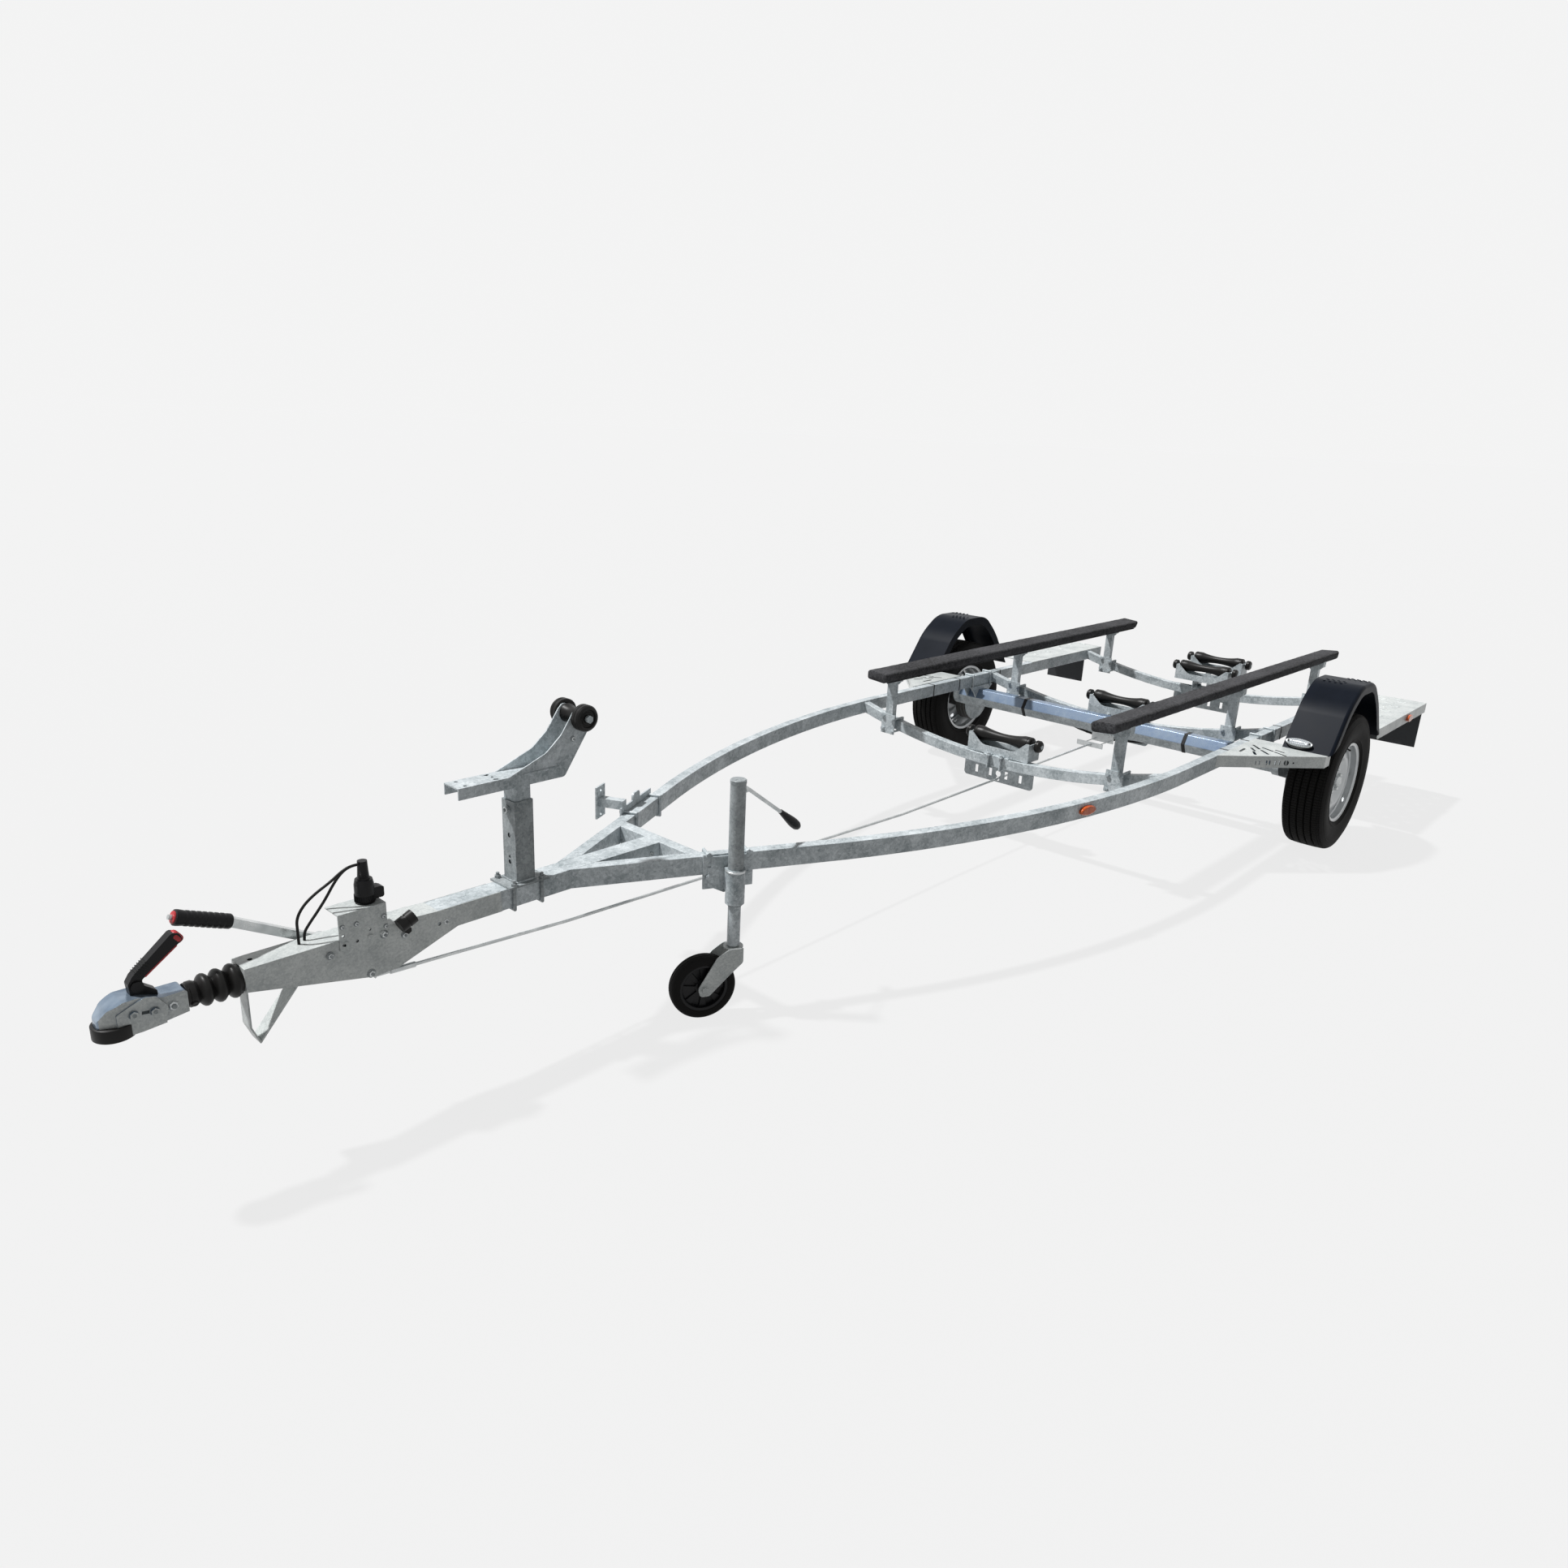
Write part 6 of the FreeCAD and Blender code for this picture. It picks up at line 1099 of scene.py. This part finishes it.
(foot_x, foot_z), (fold_x, fold_z) = GUARD_LINE[:2]
slope = Vector((fold_x - foot_x, 0, fold_z - foot_z)).normalized()
outward = Vector((slope.z, 0, -slope.x))
for side, name in SIDES:
    foot = at(foot_x, side * 1000, foot_z) + slope * 28 * MM
    oval("front_lamp_foot_" + name, foot - slope * 3 * MM, outward, LEFT, 55.5, 22,
         [(-1, 30), (9, 30), (10, 29), (10, 20)], HARD_PLASTIC)
    lens = oval("front_lamp_glass_" + name, foot, outward, LEFT, 54, 17.5,
                [(10, 30), (16, 29.4), (20, 26.5), (22.5, 21), (23, 19), (22.2, 18), (23.4, 12), (23.6, 0.4)],
                CLEAR_LENS)
    oval("front_lamp_rim_" + name, foot, outward, LEFT, 55, 18.5,
         [(9, 31), (15, 31), (17, 30.4), (17.4, 29), (16, 27.5), (9, 27.5), (9, 31)], ZINC)
    for end in (-1, 1):
        screw = lathe("screw", [(19, 4), (24.6, 4), (24.8, 3), (23.4, 2.6), (23.4, 0.4)], 16)
        put(screw, along(foot + Vector((0, end * 0.044, 0)), outward))
        done(screw, HARD_PLASTIC, "trailer")
        screw.name = "front_lamp_screw_" + name + ("_out" if end > 0 else "_in")
    if side > 0:
        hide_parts("front_lamps")
print("front lamps")

# %% tail lamps
for side, name in SIDES:
    face = at(-1217 - 44, side * 992, 368)
    for low, high, material, slot in ((22, 56, AMBER, "amber"), (-56, -22, CLEAR_LENS, "clear_lens")):
        for part in (-1, 1):
            pane = block("tail_field", 4, 92, high - low, 1.6, 3)
            pane.name = "tail_lamp_field_" + name + "_" + slot + ("_out" if part > 0 else "_in")
            put(pane, Matrix.Translation(face + Vector((0, part * 0.0475, (low + high) / 2 * MM))))
            done(pane, material if part * side > 0 or slot == "clear_lens" else RED_LENS, "trailer", 40)
print("tail lamps with four fields each")

# %% [markdown]
# ## Bolts, nuts and washers
# Hardware is what the eye expects at every joint. One bolt is modelled, a washer, a six-sided head with its
# crown chamfered and the thread's end, and copied to each place where the plain parts have only a hole or a
# plain surface.

# %% bolts
bolt_parts = [lathe("washer", [(-0.6, 12.5), (1, 12.5), (1.6, 12), (1.6, 8)], 28),
              lathe("head", [(1.4, 9), (6.6, 9), (7.8, 8), (8, 7.4)], 6),
              lathe("thread", [(7.6, 5), (11, 5), (12, 4), (12, 0.4)], 16)]
# Washer and thread's end take the darker grey; on the washer it is painted shade that outlines the head.
for part, finish in zip(bolt_parts, (DARK_STEEL, ZINC, DARK_STEEL)):
    part.data.materials.append(finish)
bolt = join("bolt", bolt_parts)
BOLTS = {
    "trailer": [
        ((4183, 38.2, 408), LEFT, 0.95), ((4283, 40.4, 491), LEFT, 0.8), ((4088, 38.2, 484), LEFT, 0.8),
        ((3969, 35.2, 484), LEFT, 0.75), ((3969, -35.2, 484), RIGHT, 0.75), ((4183, -38.2, 408), RIGHT, 0.95),
        ((4249, 42.2, 557), LEFT, 0.55), ((4213, 42.2, 555), LEFT, 0.55), ((4142, 42.2, 554), LEFT, 0.55),
        ((4138, 42.2, 526), LEFT, 0.5), ((4144, 42.2, 505), LEFT, 0.9), ((3744.2, -4, 734), FRONT, 1.1),
        *[((x, side * y, z), (0, side, 0), size) for side in (1, -1) for x, y, z, size in (
            (4715, 36.2, 497, 0.85), (4674, 36.2, 491, 0.85), (4634, 25.4, 486, 1.15))],
        ((3262, 36, 490), (0.44, 0.9, 0), 0.7), ((3262, -36, 490), (0.44, -0.9, 0), 0.7)],
    "bow_support": [((3551, 35.2, 910), LEFT, 0.7), ((3551, -35.2, 910), RIGHT, 0.7)],
}
for body, places in BOLTS.items():
    turns = [along(at(*place), axis) @ Matrix.Diagonal((size, size, size, 1)) for place, axis, size in places]
    done(repeat(linked("bolts_of_" + body, bolt.data.copy()), turns), None, body)
    print(len(places), "bolts on", body)
bpy.data.objects.remove(bolt)

# %% [markdown]
# ## Slots in the coupling's cheeks
# Each cheek of the coupling's head has a short slot. A cut would open the head's closed shell, so a thin
# dark block is let into each cheek instead: painted shade that stands in for the slot's dark opening.

# %% slots in the coupling's cheeks
# Dark blocks: painted shade in place of the slots.
slot = block("cheek_slot_shade_blocks", 15, 0.8, 7.5, 0.3, 1)
lean = Matrix.Rotation(math.radians(-8), 4, "Y")
slot = repeat(slot, [Matrix.Translation(at(4691.5, side * 36.2, 493.5)) @ lean for side in (1, -1)])
done(slot, CUT_WALL_SHADE, "trailer")
print("a dark slot on each cheek")

# %% [markdown]
# ## Cable ties
# Black ties hold cables to the axle and the rails. A tie is a thin band that follows the tube's section:
# six-sided round the axle, four-sided round a rail.

# %% cable ties
AXLE_TIE = [(-9, 51), (-9, 53), (-8.4, 54), (8.4, 54), (9, 53), (9, 51), (-9, 51)]
ties = [put(lathe("axle_tie", AXLE_TIE, 6), along(at(190, y, 396), LEFT, UP)) for y in (-452, 437)]
for side in (1, -1):
    for x in (402, -2, 640):
        ties.append(put(block("rail_tie", 9, 43, 63, 1, 1), Matrix.Translation(at(x, side * 780, 490))))
done(join("cable_ties", ties), HARD_PLASTIC, "trailer")
print("ties on the axle and rails")

# %% [markdown]
# ## Weld beads
# Where tubes meet, a welder lays a bead: a row of overlapping ripples. A small flattened ball is repeated
# every few millimetres along each seam and joined, which gives the ripples directly.

# %% welds
clear_choice()
bpy.ops.mesh.primitive_uv_sphere_add(segments=10, ring_count=6, radius=4.2 * MM)
drop = bpy.context.object
drop.name = "weld_beads"
put(drop, Matrix.Diagonal((1, 1, 0.75, 1)))
SEAMS = {"trailer": [], "bow_support": []}


def seam(a, b, body="trailer"):
    """A straight weld, and its mirror image on the other side."""
    SEAMS[body].append((a, b))
    SEAMS[body].append(((a[0], -a[1], a[2]), (b[0], -b[1], b[2])))


for face in (1230, 85, -1020):
    for x in (face, face - 40):
        seam((x, 758.6, 472), (x, 758.6, 514))
    seam((face, 759, 516), (face - 40, 759, 516))
seam((3684, 30.2, 527), (3744, 30.2, 527))
seam((3744.6, 30, 527), (3744.6, -30, 527))
seam((3602, 35.4, 838.5), (3713, 35.4, 838.5), "bow_support")
seam((3684, 26.4, 806), (3744, 26.4, 806), "bow_support")
for body, pairs in SEAMS.items():
    turns = []
    for a, b in pairs:
        a, b = at(*a), at(*b)
        count = max(int((b - a).length / 0.0042), 1)
        turns += [along(a + (b - a) * k / count, UP, (b - a) if abs((b - a).z) < 0.01 else FRONT)
                  for k in range(count + 1)]
    done(repeat(linked("weld_beads_of_" + body, drop.data.copy()), turns), STEEL, body, 60)
    print(len(pairs), "seams on", body)
bpy.data.objects.remove(drop)

# %% [markdown]
# ## The parked plug
# The trailer's plug stands in its holder. It has a finned collar to turn it by and a soft neck with flex
# rings where the leads leave. Both are turned; the collar's rim faces are then inset one by one and pushed
# in, and the neck's rings are steps in its line.

# %% plug
COLLAR = [(592, 24), (594, 25.5), (612, 25.5), (616, 23), (616, 15), (592, 15), (592, 24)]
fins = lathe("plug_collar", COLLAR, 40)
choose(fins, lambda c, n: abs(n.z) < 0.2 and math.hypot(c.x, c.y) > 0.0245)
bpy.ops.mesh.inset(thickness=0.0007, depth=-0.0016, use_individual=True)
close_mesh()
flex = [(655 + k * 3.2 + d, 14.6 - k * 0.25 - (1.2 if 1 < d < 3 else 0))
        for k in range(10) for d in (0, 1.2, 2, 3.1)]
neck = lathe("plug_neck", [(650, 16), (655, 15), *flex, (690, 12.4)], 32)
collar = join("plug_collar_and_neck", [fins, neck])
put(collar, Matrix.Translation(at(4169, 6, 0)))
done(collar, HARD_PLASTIC, "trailer", 35)
print("plug with a finned collar")

# %% [markdown]
# ## Rounded edges
# No tube or folded sheet has a knife edge. Square tube is rolled with corners as round as its wall is thick,
# and such corners catch a thin bright line of light. A Bevel modifier gives a copy of each plain node those
# corners, and a Weighted Normal keeps its flat faces flat.

# %% rounded tubes and sheets
ROUNDED = [
    (STEEL, "trailer", "galvanised", {
        "drawbar": 4, "side_rail_left": 4, "side_rail_right": 4, "cross_brace": 3, "front_arc": 3,
        "middle_arc": 3, "rear_arc": 3}),
    # On the axle's upper faces the blue grey is a painted sky reflection.
    (AXLE_SKY_REFLECTION, "trailer", "galvanised", {"axle_beam": 3}),
    (DARK_STEEL, "trailer", "galvanised", {"winch_post": 3}),
    (STEEL, "bow_support", "galvanised", {"mast": 3, "bow_arm": 2}),
    (PLATED, "trailer", "galvanised", {"overrun_housing": 2.5, "plug_holder": 1.2}),
    # On the head's dome the blue and white streaks are a painted sky reflection.
    (HEAD_SKY_REFLECTION, "trailer", "zinc", {"coupling_head": 1.6}),
    (BOARD_PLASTIC, "trailer", "black_plastic", {"lamp_boards": 2}),
    (STEEL, "trailer", "galvanised", {"jockey_clamp": 1.2}),
    (PLATED, "jockey_swivel_fork", "galvanised", {"jockey_fork": 1.2}),
]
HOLES = {
    "plug_holder": [((x, 42, z), LEFT, 4, 8) for x, z in (
        (4248, 533), (4248, 509), (4214, 509), (4180, 530))],
    "overrun_housing": [((3989, 38, 483), LEFT, 5, 6), ((4452, -5, 523), UP, 6, 6)],
    "winch_post": [((3744, 0, z), FRONT, 6.5, 6) for z in (660, 582)],
    "bow_arm": [((3790, y, 838), UP, 4, 6) for y in (-24, 0, 24)],
}


def softened(node, round_mm, material, body):
    """A copy of a plain node with its sharp edges rounded and its holes drilled."""
    piece = twin_of(node, "rounded_" + node)
    modify(piece, "BEVEL", width=round_mm * MM, segments=2, angle_limit=math.radians(32))
    holes = HOLES.get(node)
    if holes:
        drills = [put(lathe("drill", [(-depth, radius), (depth, radius)], 20), along(at(*place), axis))
                  for place, axis, radius, depth in holes]
        # The holes' walls take the dark grey of painted shade.
        cut(piece, join("drills", drills), (material, CUT_WALL_SHADE))
    done(piece, None if holes else material, body, 40)
    even_shading(piece)
    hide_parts(node)


for material, body, slot, radii in ROUNDED:
    for node, round_mm in radii.items():
        softened(node, round_mm, material, body)
print("rounded", sum(len(row[3]) for row in ROUNDED), "pieces")

# %% [markdown]
# ## Painted sky reflection, by the way a face points
# The axle's upper faces take a darker blue grey, a painted reflection of the sky, and its lower ones grey, and
# the head's polished dome takes blue and white streaks, also a painted sky reflection, while its cheeks are
# plain. Each face takes one of two materials by the way it points; faces in drilled holes keep their own.

# %% painted sky reflection by face direction
for name, second, is_first in (("rounded_axle_beam", STEEL, lambda n: n.z > 0.1),
                               ("rounded_coupling_head", PLATED, lambda n: abs(n.y) < 0.75)):
    piece = bpy.data.objects[name]
    piece.data.materials.append(second)
    last = len(piece.data.materials) - 1
    for face in piece.data.polygons:
        if face.material_index == 0 and not is_first(face.normal):
            face.material_index = last
print("the axle's upper faces and the head's dome are blue, the rest grey")

# %% [markdown]
# ## Dressing the plain nodes
# Where the solid's shape is already that of the real piece, it only needs its finish. A node's object keeps
# its mesh; only its material slot changes.

# %% finishes for the nodes
DRESS = {
    STEEL: ["axle_saddles", "swing_arms", "front_cradle", "middle_cradle", "rear_cradle", "bunk_posts",
            "spare_wheel_arm", "jockey_leg"],
    DARK_STEEL: ["jockey_tube"],
    PLATED: ["parking_strap"],
    ZINC: ["handbrake_lever", "brake_rod", "brake_equaliser", "jockey_crank"],
    HARD_PLASTIC: ["coupling_lever", "plug"],
    RUBBER: ["rubber_buffer"],
    CABLE_SKIN: ["brake_cables"],
    RED_LENS: ["tail_lamps"],
    AMBER: ["side_markers"],
}
for material, names in DRESS.items():
    for name in names:
        coat(nodes[name], material)
print("dressed", sum(len(names) for names in DRESS.values()), "nodes")

# %% [markdown]
# ## The two thin leads
# Two leads run from the neck of the parked plug, over in a loose arch, and back down into the hole in the
# housing's roof. A lead is a smooth curve: a NURBS line pulled towards a few listed points, and given a
# round section.

# %% leads
def lead(name, points, node):
    """A thin lead along listed points, kept as a cord."""
    curve = bpy.data.curves.new(name, "CURVE")
    curve.dimensions = "3D"
    curve.bevel_depth = 3.5 * MM
    curve.bevel_resolution = 4
    curve.resolution_u = 12
    curve.use_fill_caps = True
    line = curve.splines.new("NURBS")
    line.points.add(len(points) - 1)
    for control, place in zip(line.points, points):
        control.co = (*at(*place), 1)
    line.order_u = 3
    line.use_endpoint_u = True
    piece = linked(name, curve)
    curve.materials.append(CABLE_SKIN)
    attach(piece, "trailer")
    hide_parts(node)


lead("lead_one", [(4181.6, 10, 694), (4200, 9, 695), (4222, 4, 684), (4249, 0, 663), (4288, -6, 640),
                  (4316, -10, 616), (4335, -9, 588), (4336, -6, 556), (4336, -6, 523.3)], "plug_lead")
lead("lead_two", [(4181.6, 1, 690), (4198, -1, 690), (4219, -6, 676), (4238, -12, 649), (4255, -18, 617),
                  (4277, -20, 588), (4302, -20, 560), (4317, -18, 542), (4317, -18, 523.3)],
     "second_lead")
print("two leads")

# %% [markdown]
# ## Floor and light
# A pale floor catches a soft shadow. The floor and the world are nearly white to the camera and in mirrors,
# so metal shows a bright open space, but they give only gentle light. A sun high on the picture's left
# brightens the tops.

# %% floor
def looked_at(owner):
    """1 for rays from the eye, a mirror or glass, and 0 for the light that falls on things."""
    rays = add(owner, "LightPath")
    seen = add(owner, "Math", {"operation": "MAXIMUM"}, {0: rays["Is Camera Ray"], 1: rays["Is Glossy Ray"]})
    return add(owner, "Math", {"operation": "MAXIMUM"}, {0: seen[0], 1: rays["Is Transmission Ray"]})[0]


bpy.ops.mesh.primitive_plane_add(size=4000)
floor = bpy.context.object
floor.name = "floor"
pale, _ = bare("pale_floor")
matt = add(pale, "BsdfPrincipled", {"Base Color": srgb("#969696"), "Roughness": 0.9})
glow = add(pale, "Emission", {"Color": srgb("#ffffff"), "Strength": 1.0})
share = add(pale, "Math", {"operation": "MULTIPLY", 1: 0.8}, {0: looked_at(pale)})
mix = add(pale, "MixShader", {}, {0: share[0], 1: matt[0], 2: glow[0]})
add(pale, "OutputMaterial", {}, {0: mix[0]})
floor.data.materials.append(pale)
print("floor laid")

# %% sky and sun
FILL, SEEN_SKY = 0.18, 0.9
SUN_STRENGTH, SUN_SOFTNESS, SUN_TURN = 4.1, 3, (28, 12, 20)
studio = bpy.data.worlds.new("studio")
bpy.context.scene.world = studio
studio.use_nodes = True
studio.node_tree.nodes.clear()
strength = add(studio, "MapRange", {"To Min": FILL, "To Max": SEEN_SKY}, {"Value": looked_at(studio)})
sky = add(studio, "Background", {"Color": srgb("#ffffff")}, {"Strength": strength[0]})
add(studio, "OutputWorld", {}, {0: sky[0]})

light = bpy.data.lights.new("key_sun", "SUN")
light.energy = SUN_STRENGTH
light.angle = math.radians(SUN_SOFTNESS)
sun = linked("key_sun", light)
sun.rotation_euler = [math.radians(v) for v in SUN_TURN]
bpy.context.scene.view_settings.view_transform = "Standard"
print("sky and one sun")
